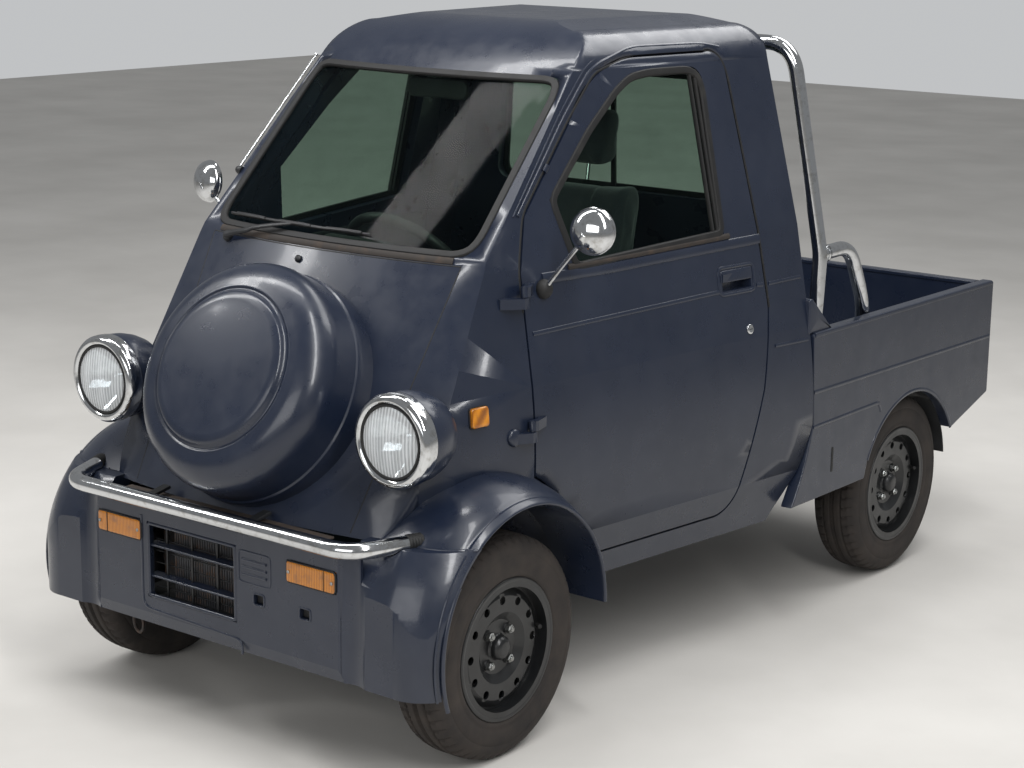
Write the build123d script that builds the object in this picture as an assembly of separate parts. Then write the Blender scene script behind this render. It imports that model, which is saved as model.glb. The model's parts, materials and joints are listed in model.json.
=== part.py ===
from build123d import *
from math import atan2, cos, degrees, hypot, radians, sin, tan
import os

os.makedirs("parts", exist_ok=True)

# A small open-bed truck with one seat, a sloping nose that carries the spare wheel in a round cover,
# round headlamps on the nose's corners, and bulging front wings.
# Sizes are in millimetres. x runs to the truck's left, y rearwards and z up. While the pieces are
# drawn, y counts from the front axle and z from the ground.

# Driving dimensions: the whole truck
wheelbase = 1840.0
front_overhang = 388.0        # front axle to the bumper tube's front
rear_overhang = 524.0         # rear axle to the tail lamps' lenses
wing_half_width = 645.0       # centre line to the outer face of the front wings
roof_height = 1635.0
ground_clearance = 230.0      # underside of the bumper cover
overall_length = front_overhang + wheelbase + rear_overhang
front_axle_y = front_overhang - overall_length / 2

# Driving dimensions: wheels
tyre_radius = 263.0
tyre_width = 140.0
bead_radius = 152.0           # where the tyre sits on the rim
rim_lip_radius = 166.0
rim_wall = 6.0
track_half = 535.0            # centre line to the tyre's middle
hub_drum_radius = 92.0
spindle_radius = 15.0
bearing_play = 0.05
wheel_disc_depth = 32.0       # tyre's outer face to the disc's edge
wheel_hole_count = 12
wheel_stud_count = 4
steer_inclination = 12.0      # degrees that the steering axis leans inwards
steer_offset = 500.0          # centre line to the steering axis at axle height

# Driving dimensions: cab
wall = 36.0                   # doors, walls and roof, inside face to outside face
skin = 12.0                   # depth at which the door opening steps in behind the door's edge
rebate = 14.0                 # how far the inner frame of a door steps in from its edge
shut_gap = 6.0                # between a door and its opening
door_lap = 7.0                # thickness of the door's edge, and depth of the glass in its frame
sill_height = 304.0           # underside of the cab
belt_height = 1100.0
cab_half_width = 588.0        # at the belt, at the cab's rear corner
side_taper = 0.113            # how much each side closes in per millimetre forwards
nose_pivot_y = 2000.0         # centre of the nose's and windscreen's curve in plan
nose_foot_y = -283.0
nose_foot_z = 540.0
screen_foot_y = 38.0
screen_foot_z = 1125.0
screen_head_y = 428.0
screen_head_z = 1536.0
cab_rear_y = 1246.0           # rear wall at the bed's rail height

# Driving dimensions: front wheel arch, wings and bumper
arch_y = 16.0
arch_z = 305.0
arch_radius = 296.0
wing_radius = 350.0
bumper_crown = 378.0          # the same measure on the bumper's corners
wing_lip = 6.0
well_radius = 345.0
well_inner_x = 322.0
well_outer_x = 600.0
well_front_y = -295.0
bumper_top_z = 548.0
bumper_face_y = -340.0
bumper_wall = 20.0

# Driving dimensions: bed
bed_half_width = 641.0
bed_wall = 35.0
bed_front_y = 1272.0
bed_rear_y = wheelbase + 487.0
bed_rail_z = 805.0
bed_floor_z = 585.0
bed_skirt_z = 342.0           # underside of the bed's sides in front of the rear wheels
bed_floor_thickness = 18.0
rear_arch_radius = 284.0
gate_gap = 7.0                # bed floor's end to the closed tailgate's pivot lugs
gate_thickness = 30.0
gate_pin_radius = 8.0
gate_lug_radius = 14.0
gate_side_gap = 8.0
bearer_height = 72.0
hatch_rear_y = 1690.0         # rear edge of the floor panel over the engine
seam_width = 4.0
seam_depth = 2.0

# Driving dimensions: doors, their hinges and their windows
door_front_y = 196.0
door_bottom_z = 372.0
door_top_z = 1552.0
door_wing_gap = 10.0
handle_y = 962.0
handle_z = 986.0
hinge_y = 172.0
hinge_low_z = 730.0
hinge_high_z = 1040.0
hinge_lean = 5.5              # degrees that the hinge line leans inwards
hinge_proud = 15.0            # hinge line to the body's face at the lower hinge
hinge_radius = 9.0
hinge_height = 24.0
hinge_gap = 1.5
hinge_pin_radius = 4.0
mirror_y = 262.0
mirror_foot_z = 1046.0
mirror_head_x = 620.0
mirror_head_z = 1195.0
mirror_radius = 55.0

# Driving dimensions: what the nose carries
cover_tilt = 27.0             # degrees that the spare wheel's cover faces upwards
cover_radius = 281.0
cover_depth = 196.0
cover_y = -148.0
cover_z = 803.0
lamp_x = 464.0
lamp_y = -248.0
lamp_z = 776.0
lamp_radius = 108.0
bar_radius = 18.0
bar_z = 550.0
bar_bend = 62.0
bar_gap = 3.0                 # between the bumper tube's ends and the notches they lie in
bracket_thickness = 5.0
grille_right = -220.0
grille_left = 76.0
grille_low = 300.0
grille_high = 486.0
grille_blank = 50.0           # width of the closed part of the grille opening
valley_x = 430.0              # centre of the hollow between the bumper's face and the wing
valley_radius = 62.0
valley_depth = 15.0
signal_inner_x = 236.0
signal_outer_x = 386.0
signal_low = 434.0
signal_high = 486.0
signal_depth = 14.0
signal_proud = 4.0

# Driving dimensions: inside the cab
seat_x = -40.0
seat_half_width = 230.0
seat_base_z = 560.0
cushion_thickness = 110.0
soft_gap = 0.3
dash_half_width = 430.0
wheel_hub_y = 380.0
wheel_hub_z = 1000.0
column_angle = 38.0           # degrees that the steering column rises rearwards
hand_wheel_radius = 175.0
hand_rim_radius = 14.0
column_pin_radius = 10.0

# Driving dimensions: chassis
rail_inner_x = 235.0
rail_outer_x = 275.0
rail_height = 64.0
rail_low_z = 240.0
rail_rear_z = 431.0
tow_eye_y = 2322.0
tow_eye_z = 413.0
tow_eye_radius = 14.0
kick_y = 1190.0               # where the rails start to rise behind the cab
arm_low_z = 134.0
arm_thickness = 14.0
ball_pin_radius = 6.0
strut_radius = 19.0
strut_pin_radius = 8.0
mount_radius = 40.0
housing_thickness = 6.0
roll_tube_radius = 20.0
roll_foot_x = 565.0
roll_hoop_y = 1372.0
roll_brace_y = 1640.0
foot_plate = 5.0              # thickness of the roll bar's foot plates

axle_z = tyre_radius
rear_axle_y = wheelbase
rail_top_z = rail_low_z + rail_height
bearer_low_z = rail_rear_z + rail_height
gate_axis_y = bed_rear_y - 28.0
gate_axis_z = bed_floor_z - 7.0
spindle_end = track_half + 25.0
drum_face_x = track_half - tyre_width / 2 + 44.0
HUGE = 900.0


def edge_loop(path, place):
    """A closed wire. A step is (u, v) for a line, or (u, v, u, v) for an arc through the first pair."""
    edges = []
    here = path[0]
    for step in path[1:] + [path[0][-2:]]:
        there = step[-2:]
        if len(step) == 4:
            edges.append(Edge.make_three_point_arc(place(*here), place(*step[:2]), place(*there)))
        elif hypot(there[0] - here[0], there[1] - here[1]) > 0.001:
            edges.append(Edge.make_line(place(*here), place(*there)))
        here = there
    return Wire(edges)


def flat_face(path, place, inset=0.0):
    """The face inside a path, drawn smaller by inset."""
    loop = edge_loop(path, place)
    if inset:
        loop = loop.offset_2d(-inset, kind=Kind.INTERSECTION)
        if isinstance(loop, ShapeList):
            loop = loop[0]
    return Face(loop)


def side_prism(path, x_low, x_high, inset=0.0):
    """A (y, z) outline carried across the truck."""
    face = flat_face(path, lambda y, z: (x_low, y, z), inset)
    return Solid.extrude(face, Vector(x_high - x_low, 0, 0))


def plan_prism(path, z_low, z_high, inset=0.0):
    """An (x, y) outline carried upwards."""
    face = flat_face(path, lambda x, y: (x, y, z_low), inset)
    return Solid.extrude(face, Vector(0, 0, z_high - z_low))


def front_prism(path, y_low, y_high, inset=0.0, lean=0.0):
    """An (x, z) outline carried rearwards, moving outwards by lean for each millimetre."""
    face = flat_face(path, lambda x, z: (x, y_low, z), inset)
    return Solid.extrude(face, Vector(lean * (y_high - y_low), y_high - y_low, 0))


def block(x_low, x_high, y_low, y_high, z_low, z_high):
    """A box between its lowest and highest corners."""
    solid = Solid.make_box(x_high - x_low, y_high - y_low, z_high - z_low)
    return solid.moved(Location((x_low, y_low, z_low)))


def rod(start, end, radius):
    """A round bar from one point to another."""
    a = Vector(*start)
    b = Vector(*end)
    return Solid.make_cylinder(radius, (b - a).length, Plane(origin=a, z_dir=b - a))


def turned(profile, centre, direction):
    """A (radius, distance) outline turned about an axis through centre."""
    axis = Vector(*direction).normalized()
    side = Vector(1, 0, 0) if abs(axis.X) < 0.9 else Vector(0, 0, 1)
    out = (side - axis * side.dot(axis)).normalized()
    base = Vector(*centre)

    def place(radius, distance):
        return base + out * radius + axis * distance

    face = flat_face(profile, place)
    solid = Solid.revolve(face, 360.0, Axis(base, axis))
    if solid.volume < 0:
        solid = Solid.revolve(face, 360.0, Axis(base, axis * -1.0))
    return solid


def pipe(points, bend, radius):
    """A round tube drawn solid, along straight runs joined by bends."""
    line = FilletPolyline(*points, radius=bend)
    start = line @ 0
    section = Plane(origin=start, z_dir=line % 0) * Circle(radius)
    return sweep(section, path=line)


def solids_of(*shapes):
    """All the solids of the shapes in one compound."""
    found = []
    for shape in shapes:
        found.extend(shape.solids())
    return Compound(children=[Solid(item.wrapped) for item in found])


def common(a, b):
    """What two shapes share."""
    return solids_of(*(a & b).solids())


def mirrored(shape):
    """The same shape on the truck's other side."""
    return mirror(shape, about=Plane.YZ)


def both(shape):
    """A left piece and its mirror image."""
    return solids_of(shape, mirrored(shape))


def cab_volume(inset=0.0):
    """The closed outer form of the cab, or the same form smaller by inset on every side."""
    nose = [
        (nose_pivot_y, sill_height), (-150.0, sill_height), (-150.0, nose_foot_z),
        (nose_foot_y, nose_foot_z), (screen_foot_y, screen_foot_z), (screen_head_y, screen_head_z),
        (screen_head_y + 105.0, roof_height - 26.0, screen_head_y + 250.0, roof_height),
        (nose_pivot_y, roof_height),
    ]
    nose_face = flat_face(nose, lambda y, z: (0, y, z), inset)
    front = Solid.revolve(nose_face, 360.0, Axis((0, nose_pivot_y, 0), (0, 0, 1)))
    rear = [
        (-HUGE, sill_height), (cab_rear_y - 100.0, sill_height), (cab_rear_y - 84.0, 338.0),
        (cab_rear_y - 16.0, 460.0, cab_rear_y + 18.0, 560.0), (cab_rear_y, 820.0),
        (cab_rear_y - 34.0, roof_height - 70.0),
        (cab_rear_y - 54.0, roof_height - 22.0, cab_rear_y - 110.0, roof_height),
        (-HUGE, roof_height),
    ]
    back = side_prism(rear, -HUGE, HUGE, inset)
    width = cab_half_width
    side = [
        (-HUGE, sill_height), (width + 2.0, sill_height), (width + 42.0, 440.0),
        (width + 54.0, 620.0, width + 42.0, 830.0), (width, belt_height),
        (width - 98.0, roof_height - 105.0),
        (width - 126.0, roof_height - 47.0, width - 196.0, roof_height - 19.0),
        (width - 300.0, roof_height), (-HUGE, roof_height),
    ]
    reach = cab_rear_y + 2 * HUGE
    face = flat_face(side, lambda x, z: (x - side_taper * reach, cab_rear_y - reach, z), inset)
    left = Solid.extrude(face, Vector(side_taper * (reach + 200.0), reach + 200.0, 0))
    corner = [
        (345.0, -HUGE), (345.0, nose_foot_y),
        (425.0, nose_foot_y + 45.0, 462.0, nose_foot_y + 130.0), (540.0, nose_foot_y + 343.0),
        (HUGE, nose_foot_y + 703.0), (2 * HUGE, nose_foot_y + 703.0), (2 * HUGE, -HUGE),
    ]
    cutter = plan_prism(corner, -100.0, 2 * HUGE, -inset)
    volume = front & back
    volume = volume & left
    volume = volume & mirrored(left)
    volume = volume - cutter
    return solids_of(*(volume - mirrored(cutter)).solids())


def wheel_well(grow=0.0):
    """The space that a steered front wheel needs on the left side, or the same space grown all round."""
    inner = well_inner_x - grow
    round_part = rod((inner, 0, axle_z), (well_outer_x, 0, axle_z), well_radius + grow)
    keep = block(inner, well_outer_x, well_front_y - grow, HUGE, 0.0, HUGE)
    opening = rod((inner + 100, arch_y, arch_z), (HUGE, arch_y, arch_z), arch_radius + grow)
    reach = arch_radius + grow
    lower = block(well_outer_x - 1, HUGE, arch_y - reach, arch_y + reach, 0, arch_z)
    return (round_part & keep) + opening + lower


def at_angle(radius, degrees_up, centre_y=arch_y, centre_z=arch_z):
    """A (y, z) point on a circle about the front arch's centre, measured up from straight rearwards."""
    turn = radians(degrees_up)
    return centre_y + radius * cos(turn), centre_z + radius * sin(turn)


def side_at(y, z):
    """Half the cab's width at a place below the belt's crease, on the straight part of its side."""
    flare = 42.0 * (belt_height - z) / 270.0
    return cab_half_width + min(flare, 50.0) - side_taper * (cab_rear_y - y)


def nose_at(x, z):
    """How far forward the nose or windscreen reaches at a place."""
    if z < screen_foot_z:
        lean = (screen_foot_y - nose_foot_y) / (screen_foot_z - nose_foot_z)
    else:
        lean = (screen_head_y - screen_foot_y) / (screen_head_z - screen_foot_z)
    centre = nose_pivot_y - (screen_foot_y + (z - screen_foot_z) * lean)
    return nose_pivot_y - (centre ** 2 - x ** 2) ** 0.5


# The outlines of the doors and windows
door_arc = wing_radius + door_wing_gap
arc_low = degrees(atan2(door_bottom_z - arch_z, (door_arc ** 2 - (door_bottom_z - arch_z) ** 2) ** 0.5))
arc_high = degrees(atan2((door_arc ** 2 - (door_front_y - arch_y) ** 2) ** 0.5, door_front_y - arch_y))
door_outline = [
    at_angle(door_arc, arc_high), (door_front_y, belt_height - 9.0), (236.0, 1213.0), (433.0, 1410.0),
    (552.0, 1515.0, 700.0, door_top_z), (960.0, door_top_z), (1012.0, 1542.0, 1034.0, 1500.0),
    (1062.0, belt_height + 6.0), (1078.0, 900.0), (1045.0, 690.0), (968.0, door_bottom_z + 63.0),
    (942.0, door_bottom_z + 16.0, 890.0, door_bottom_z), at_angle(door_arc, arc_low),
    at_angle(door_arc, (arc_low + arc_high) / 2) + at_angle(door_arc, arc_high),
]
side_window = [
    (376.0, 1078.0), (326.0, 1244.0), (494.0, 1396.0), (611.0, 1482.0),
    (672.0, 1512.0, 740.0, 1520.0), (890.0, 1520.0), (930.0, 1506.0, 940.0, 1470.0), (930.0, 1101.0),
]
windscreen_outline = [
    (-370.0, 1132.0), (370.0, 1132.0), (403.0, 1142.0, 410.0, 1172.0), (392.0, 1474.0),
    (384.0, 1505.0, 354.0, 1514.0), (-354.0, 1514.0), (-384.0, 1505.0, -392.0, 1474.0),
    (-410.0, 1172.0), (-403.0, 1142.0, -370.0, 1132.0),
]
rear_window_outline = [
    (-350.0, 1140.0), (350.0, 1140.0), (378.0, 1150.0, 388.0, 1178.0), (366.0, 1430.0),
    (356.0, 1460.0, 326.0, 1470.0), (-326.0, 1470.0), (-356.0, 1460.0, -366.0, 1430.0),
    (-388.0, 1178.0), (-378.0, 1150.0, -350.0, 1140.0),
]
nose_outline = [(-345.0, nose_foot_z), (345.0, nose_foot_z), (398.0, 1116.0), (-398.0, 1116.0)]

# The cab's skins, from the outer face inwards
cab_outside = cab_volume()
cab_lap = cab_volume(door_lap)
cab_frame = cab_volume(skin)
cab_inside = cab_volume(wall)
well_left = wheel_well()


def make_wing_form(crown, shoulder, top_line):
    """The left wing's outer form: a swelling about the arch, cut by the plan's round corner and a top line.

    The swelling rises from the arch's lip to its crown across the shoulder.
    """
    lip = arch_radius + wing_lip
    middle = wing_half_width - 0.4 * shoulder
    section = [
        (400.0, 0.0), (wing_half_width, 0.0), (wing_half_width, lip),
        (middle, lip + 0.6 * (crown - lip), wing_half_width - shoulder, crown - 2.0),
        (wing_half_width - 1.4 * shoulder, crown), (400.0, crown),
    ]
    centre = Vector(0, arch_y, arch_z)
    face = flat_face(section, lambda x, r: (x, arch_y, arch_z + r))
    form = Solid.revolve(face, 360.0, Axis(centre, Vector(1, 0, 0)))
    front = bumper_face_y + 5.0
    plan = [
        (400.0, front), (545.0, front), (620.0, front + 28.0, wing_half_width, front + 98.0),
        (wing_half_width, HUGE), (400.0, HUGE),
    ]
    rounded = plan_prism(plan, 0.0, HUGE)
    limit = side_prism([(-HUGE, ground_clearance), (HUGE, ground_clearance)] + top_line, 0.0, HUGE)
    return common(form & rounded, limit)


wing_form = make_wing_form(wing_radius, 105.0, [(HUGE, HUGE), (-HUGE, HUGE)])
corner_form = make_wing_form(bumper_crown, 115.0, [
    (HUGE, bumper_top_z - 0.5), (arch_y - 252.0, bumper_top_z - 0.5),
    (bumper_face_y + 36.0, bumper_top_z - 14.0, bumper_face_y, bumper_top_z - 62.0),
    (-HUGE, bumper_top_z - 62.0),
])


def make_wings():
    """Both front wings: the flares over the wheels, above the bumper cover's top edge."""
    shape = wing_form - cab_outside - well_left - bumper_tube(bar_radius + bar_gap)
    low_front = block(0, HUGE, -HUGE, arch_y - 100, 0, bumper_top_z)
    low_rear = block(0, HUGE, arch_y, HUGE, 0, sill_height)
    return both(largest(shape - low_front - low_rear))


def largest(shape):
    """The biggest solid of a shape."""
    return solids_of(shape.solids().sort_by(SortBy.VOLUME)[-1])


def make_bumper_cover():
    """The bumper's cover, from one wheel arch round the front to the other, with its grille opening."""
    corner = corner_form - cab_outside - well_left - bumper_tube(bar_radius + bar_gap)
    corner = largest(common(corner, block(0, HUGE, -HUGE, arch_y - 100, 0, bumper_top_z)))
    face_half = 446.0
    path = [
        (bumper_face_y, ground_clearance + 30.0), (bumper_face_y, bumper_top_z - 30.0),
        (bumper_face_y + 8.0, bumper_top_z - 14.0), (bumper_face_y + bumper_wall, bumper_top_z - 14.0),
        (bumper_face_y + bumper_wall, ground_clearance), (bumper_face_y + 10.0, ground_clearance),
    ]
    face = side_prism(path, -face_half, face_half)
    opening = block(grille_right, grille_left, -HUGE, 0, grille_low, grille_high)
    cover = (face + corner + mirrored(corner)) - opening
    for x, z in ((147.0, 370.0), (290.0, 368.0)):
        cover = cover - block(x - 15, x + 15, -HUGE, 0, z - 12, z + 12)
    middle = bumper_face_y - valley_radius + valley_depth
    valley = rod((valley_x, middle, 0), (valley_x, middle, HUGE), valley_radius)
    for cut in turn_signal_blocks() + [valley, mirrored(valley)]:
        cover = cover - cut
    return largest(cover)


def turn_signal_blocks():
    """The amber lamps that sit in the bumper cover's face."""
    front = bumper_face_y - signal_proud
    back = bumper_face_y + signal_depth
    left = block(signal_inner_x, signal_outer_x, front, back, signal_low, signal_high)
    return [left, mirrored(left)]


def make_grille():
    """Two slats and three uprights across the opening, and the plate that closes its right end."""
    back = bumper_face_y + bumper_wall
    pieces = []
    for z in (352.0, 428.0):
        pieces.append(block(grille_right, grille_left, back - 16, back - 2, z - 4, z + 4))
    for x in (-120.0, -45.0, 30.0):
        pieces.append(block(x - 4, x + 4, back - 10, back - 4, grille_low, grille_high))
    grid = block(grille_right, grille_right + grille_blank, back - 14, back - 6, grille_low, grille_high)
    for piece in pieces:
        grid = grid + piece
    return grid


def bumper_tube(radius):
    """The bumper tube's own line, as thick as asked."""
    line_y = -front_overhang + bar_radius
    end = (506, line_y + 130, bar_z + 2)
    bend = (452, line_y, bar_z)
    return pipe([(-end[0], end[1], end[2]), (-bend[0], bend[1], bend[2]), bend, end], bar_bend, radius)


def make_bumper_bar():
    """The bent tube across the front, with three flat brackets to the nose's underside."""
    line_y = -front_overhang + bar_radius
    bar = bumper_tube(bar_radius)
    for x in (-230.0, 0.0, 230.0):
        low = nose_foot_z - bracket_thickness
        bar = bar + block(x - 14, x + 14, line_y, nose_foot_y + 60, low, nose_foot_z)
    return bar


def make_spare_cover():
    """The round cover on the nose, whose open back follows the nose's surface."""
    tilt = radians(cover_tilt)
    profile = [
        (0.0, -70.0), (cover_radius, -70.0), (cover_radius, 62.0),
        (cover_radius - 14.0, 138.0, cover_radius - 68.0, cover_depth - 22.0),
        (cover_radius - 90.0, cover_depth - 19.0), (cover_radius - 96.0, cover_depth - 4.0),
        (cover_radius - 104.0, cover_depth), (0.0, cover_depth),
    ]
    form = turned(profile, (0, cover_y, cover_z), (0, -cos(tilt), sin(tilt)))
    return largest(form - cab_outside)


def make_headlamps():
    """The housings, chrome rings and lenses of both headlamps."""
    centre = (lamp_x, lamp_y, lamp_z)
    back = (0, 1, 0)
    outer = lamp_radius
    housing = turned([
        (0.0, 14.0), (outer - 8.0, 14.0), (outer - 8.0, 34.0), (outer - 2.0, 34.0), (outer - 4.0, 70.0),
        (outer - 20.0, 120.0), (outer - 58.0, 158.0), (0.0, 165.0)], centre, back)
    ring = turned([
        (outer - 18.0, 0.0), (outer - 3.0, 0.0), (outer, 5.0), (outer, 34.0), (outer - 8.0, 34.0),
        (outer - 8.0, 14.0), (outer - 18.0, 14.0)], centre, back)
    lens = turned([
        (0.0, -14.0), (46.0, -10.0, outer - 18.0, 2.0), (outer - 18.0, 14.0), (0.0, 14.0)], centre, back)
    return both(largest(housing - cab_outside)), both(ring), both(lens)


def make_side_markers():
    """The small amber lamps on the cab's sides behind the headlamps."""
    x = side_at(13.0, 788.0)
    return both(largest(block(x - 30, x + 12, -14, 41, 764, 812) - cab_outside))


def make_doors():
    """The left door with its window cut and a recess for its handle, and its glass."""
    edge = side_prism(door_outline, 200.0, HUGE)
    inner = side_prism(door_outline, 200.0, HUGE, rebate)
    window = side_prism(side_window, 200.0, HUGE)
    door = common(cab_outside, edge) - cab_inside
    door = door - common(cab_lap, edge - inner)
    door = largest(door - window) - handle_recess()
    door = door + handle_grip()
    for z in (hinge_low_z, hinge_high_z):
        door = door + hinge_half(z, 1)
    pane = common(cab_lap, window) - cab_frame
    return largest(door), largest(pane)


def handle_recess():
    """The finger pocket behind the door handle."""
    x = side_at(handle_y, handle_z)
    return block(x - 22, x + 20, handle_y - 58, handle_y + 58, handle_z - 26, handle_z + 26)


def handle_grip():
    """The bar across the finger pocket."""
    x = side_at(handle_y, handle_z)
    return block(x - 10, x - 2, handle_y - 60, handle_y + 60, handle_z - 2, handle_z + 18)


def make_cab_shell():
    """Roof, pillars, rear wall and side panels, with the door openings and windows cut."""
    opening = side_prism(door_outline, 200.0, HUGE, -shut_gap) - cab_frame
    inner_opening = side_prism(door_outline, 200.0, HUGE, rebate - shut_gap)
    shell = cab_outside - cab_inside
    for cut in (opening, inner_opening, well_left):
        shell = shell - cut
        shell = shell - mirrored(cut)
    shell = shell - front_prism(windscreen_outline, -HUGE, 560.0)
    shell = shell - front_prism(rear_window_outline, cab_rear_y - 100.0, HUGE * 2)
    return largest(shell)


def make_glass():
    """The windscreen and the rear window, each set in its wall."""
    screen = common(cab_lap, front_prism(windscreen_outline, -HUGE, 560.0)) - cab_frame
    rear = common(cab_lap, front_prism(rear_window_outline, cab_rear_y - 100.0, HUGE * 2)) - cab_frame
    return largest(screen), largest(rear)


def hinge_x(z):
    """Where the left door's hinge line is at a height."""
    return side_at(hinge_y, hinge_low_z) + hinge_proud - (z - hinge_low_z) * tan(radians(hinge_lean))


def hinge_point(z):
    """A point on the left door's hinge line."""
    return (hinge_x(z), hinge_y, z)


def hinge_half(z, side):
    """One half of a hinge: side 1 is the door's, with a bore, and side -1 is the body's, with the pin."""
    low = z + hinge_gap if side > 0 else z - hinge_height
    high = low + hinge_height
    middle = (low + high) / 2
    x = hinge_x(middle)
    near = side_at(hinge_y + side * 26, middle)
    far = side_at(hinge_y + side * 50, middle)
    plan = [
        (x - hinge_radius, hinge_y), (x - hinge_radius, hinge_y + side * 6), (near + 5, hinge_y + side * 26),
        (far - 4, hinge_y + side * 36), (far - 4, hinge_y + side * 58), (far + 4, hinge_y + side * 58),
        (x + hinge_radius, hinge_y + side * 12), (x + hinge_radius, hinge_y),
    ]
    leaf = plan_prism(plan, low, high)
    barrel = rod(hinge_point(low), hinge_point(high), hinge_radius)
    if side > 0:
        bore = rod(hinge_point(low - 5), hinge_point(high + 5), hinge_pin_radius + bearing_play)
        return (leaf + barrel) - bore
    pin = rod(hinge_point(middle), hinge_point(z + hinge_height + 2), hinge_pin_radius)
    return leaf + barrel + pin


def split_cab(shell):
    """The floor with its wheel housings, the nose's panel, and the rest of the cab."""
    floor_block = block(-HUGE, HUGE, -HUGE, 2 * HUGE, 0, sill_height + wall)
    housing = common(wheel_well(housing_thickness) - well_left, cab_inside)
    floor = common(shell, floor_block) + housing + mirrored(housing)
    panel_block = front_prism(nose_outline, -HUGE, 300.0)
    panel = common(shell - floor_block, panel_block)
    cab = shell - floor_block - panel_block
    for z in (hinge_low_z, hinge_high_z):
        half = hinge_half(z, -1)
        cab = cab + half + mirrored(half)
    return largest(floor), largest(panel), largest(cab)


def make_mirror():
    """The left mirror: a foot on the door, a thin stem and a round domed head that faces rearwards."""
    foot_x = side_at(mirror_y, mirror_foot_z)
    foot = (foot_x + 4, mirror_y, mirror_foot_z)
    head = (mirror_head_x, mirror_y, mirror_head_z)
    stem = rod((foot_x + 8, mirror_y, mirror_foot_z + 4), head, 6.0)
    ball = turned([
        (0.0, -14.0), (20.0, -14.0), (20.0, 2.0), (12.0, 12.0), (0.0, 12.0)], foot, (1.0, 0.0, 0.25))
    r = mirror_radius
    dome = turned([
        (0.0, -26.0), (r - 18.0, -18.0, r, 6.0), (r, 14.0), (r - 5.0, 14.0), (r - 5.0, 10.0), (0.0, 10.0),
    ], head, (-0.22, 1.0, -0.1))
    return largest((ball - cab_outside) + stem + dome)


def make_wiper():
    """One wiper: its spindle at the windscreen's right foot, an arm, and a blade that follows the glass."""
    def radius_at(z, proud):
        return nose_pivot_y - nose_at(0.0, z) + proud

    low = 1148.0
    high = 1157.0
    blade = turned([
        (radius_at(low, soft_gap), low), (radius_at(low, 14.0), low),
        (radius_at(high, 14.0), high), (radius_at(high, soft_gap), high),
    ], (0, nose_pivot_y, 0), (0, 0, 1))
    blade = common(blade, block(-352, 132, -HUGE, HUGE, 0, 2 * HUGE))
    pivot_z = screen_foot_z - 22.0
    pivot = (-350.0, nose_at(-350.0, pivot_z), pivot_z)
    spindle = rod((pivot[0], pivot[1] + 12, pivot_z - 7), (pivot[0], pivot[1] - 20, pivot_z + 11), 9.0)
    tip_z = (low + high) / 2
    tip = (-110.0, nose_at(-110.0, tip_z) - 11, tip_z)
    arm = rod((pivot[0], pivot[1] - 15, pivot_z + 8), tip, 5.0)
    return largest((spindle - cab_outside) + arm + blade)


def make_antenna():
    """The rod aerial that lies along the right windscreen pillar."""
    foot_y = 205.0
    foot_z = 1245.0
    foot_x = cab_half_width - 98.0 * (foot_z - belt_height) / 430.0 - side_taper * (cab_rear_y - foot_y)
    start = (-foot_x - 11, foot_y, foot_z)
    stub = rod((-foot_x + 6, foot_y, foot_z), (-foot_x - 15, foot_y, foot_z), 7.0)
    mast = rod(start, (-foot_x + 20, foot_y + 262, foot_z + 275), 3.0)
    return largest((stub - cab_outside) + mast)


def make_dashboard():
    """The padded shelf under the windscreen, closed at its back, with a hole for the column."""
    outline = [
        (40.0, 1060.0), (225.0, 1075.0), (262.0, 1066.0, 262.0, 1036.0), (240.0, 905.0), (150.0, 862.0),
        (40.0, 892.0),
    ]
    shelf = common(side_prism(outline, -dash_half_width, dash_half_width), cab_volume(wall + soft_gap))
    column = rod(on_column(-40.0), on_column(-420.0), 22.0 + soft_gap)
    return largest(shelf - column)


def on_column(distance):
    """A point on the steering column's line, counted from the hand wheel's hub towards the driver."""
    angle = radians(column_angle)
    return (seat_x, wheel_hub_y + distance * cos(angle), wheel_hub_z + distance * sin(angle))


def make_steering():
    """The fixed column with its pin, and the hand wheel that turns on it."""
    column = rod(on_column(-24.0), on_column(-340.0), 22.0)
    column = column + rod(on_column(-30.0), on_column(12.0), column_pin_radius)
    root = on_column(-62.0)
    column = column + rod(root, (root[0] + 120.0, root[1], root[2] + 20), 5.0)
    angle = radians(column_angle)
    axis = (0, cos(angle), sin(angle))
    hub = rod(on_column(-18.0), on_column(34.0), 30.0)
    r = hand_wheel_radius
    t = hand_rim_radius
    rim = turned([(r - t, 0.0), (r, -t, r + t, 0.0), (r, t, r - t, 0.0)], on_column(28.0), axis)
    bar = front_prism([(-r, -9.0), (r, -9.0), (r, 9.0), (-r, 9.0)], -5.0, 5.0)
    drop = front_prism([(-16.0, -r), (16.0, -r), (16.0, 0.0), (-16.0, 0.0)], -5.0, 5.0)
    turn = Location(on_column(22.0)) * Location((0, 0, 0), (column_angle, 0, 0))
    hand = hub + (bar + drop).moved(turn)
    hand = hand + rim
    bore = rod(on_column(-30.0), on_column(14.0), column_pin_radius + bearing_play)
    return largest(column), largest(hand - bore)


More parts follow.
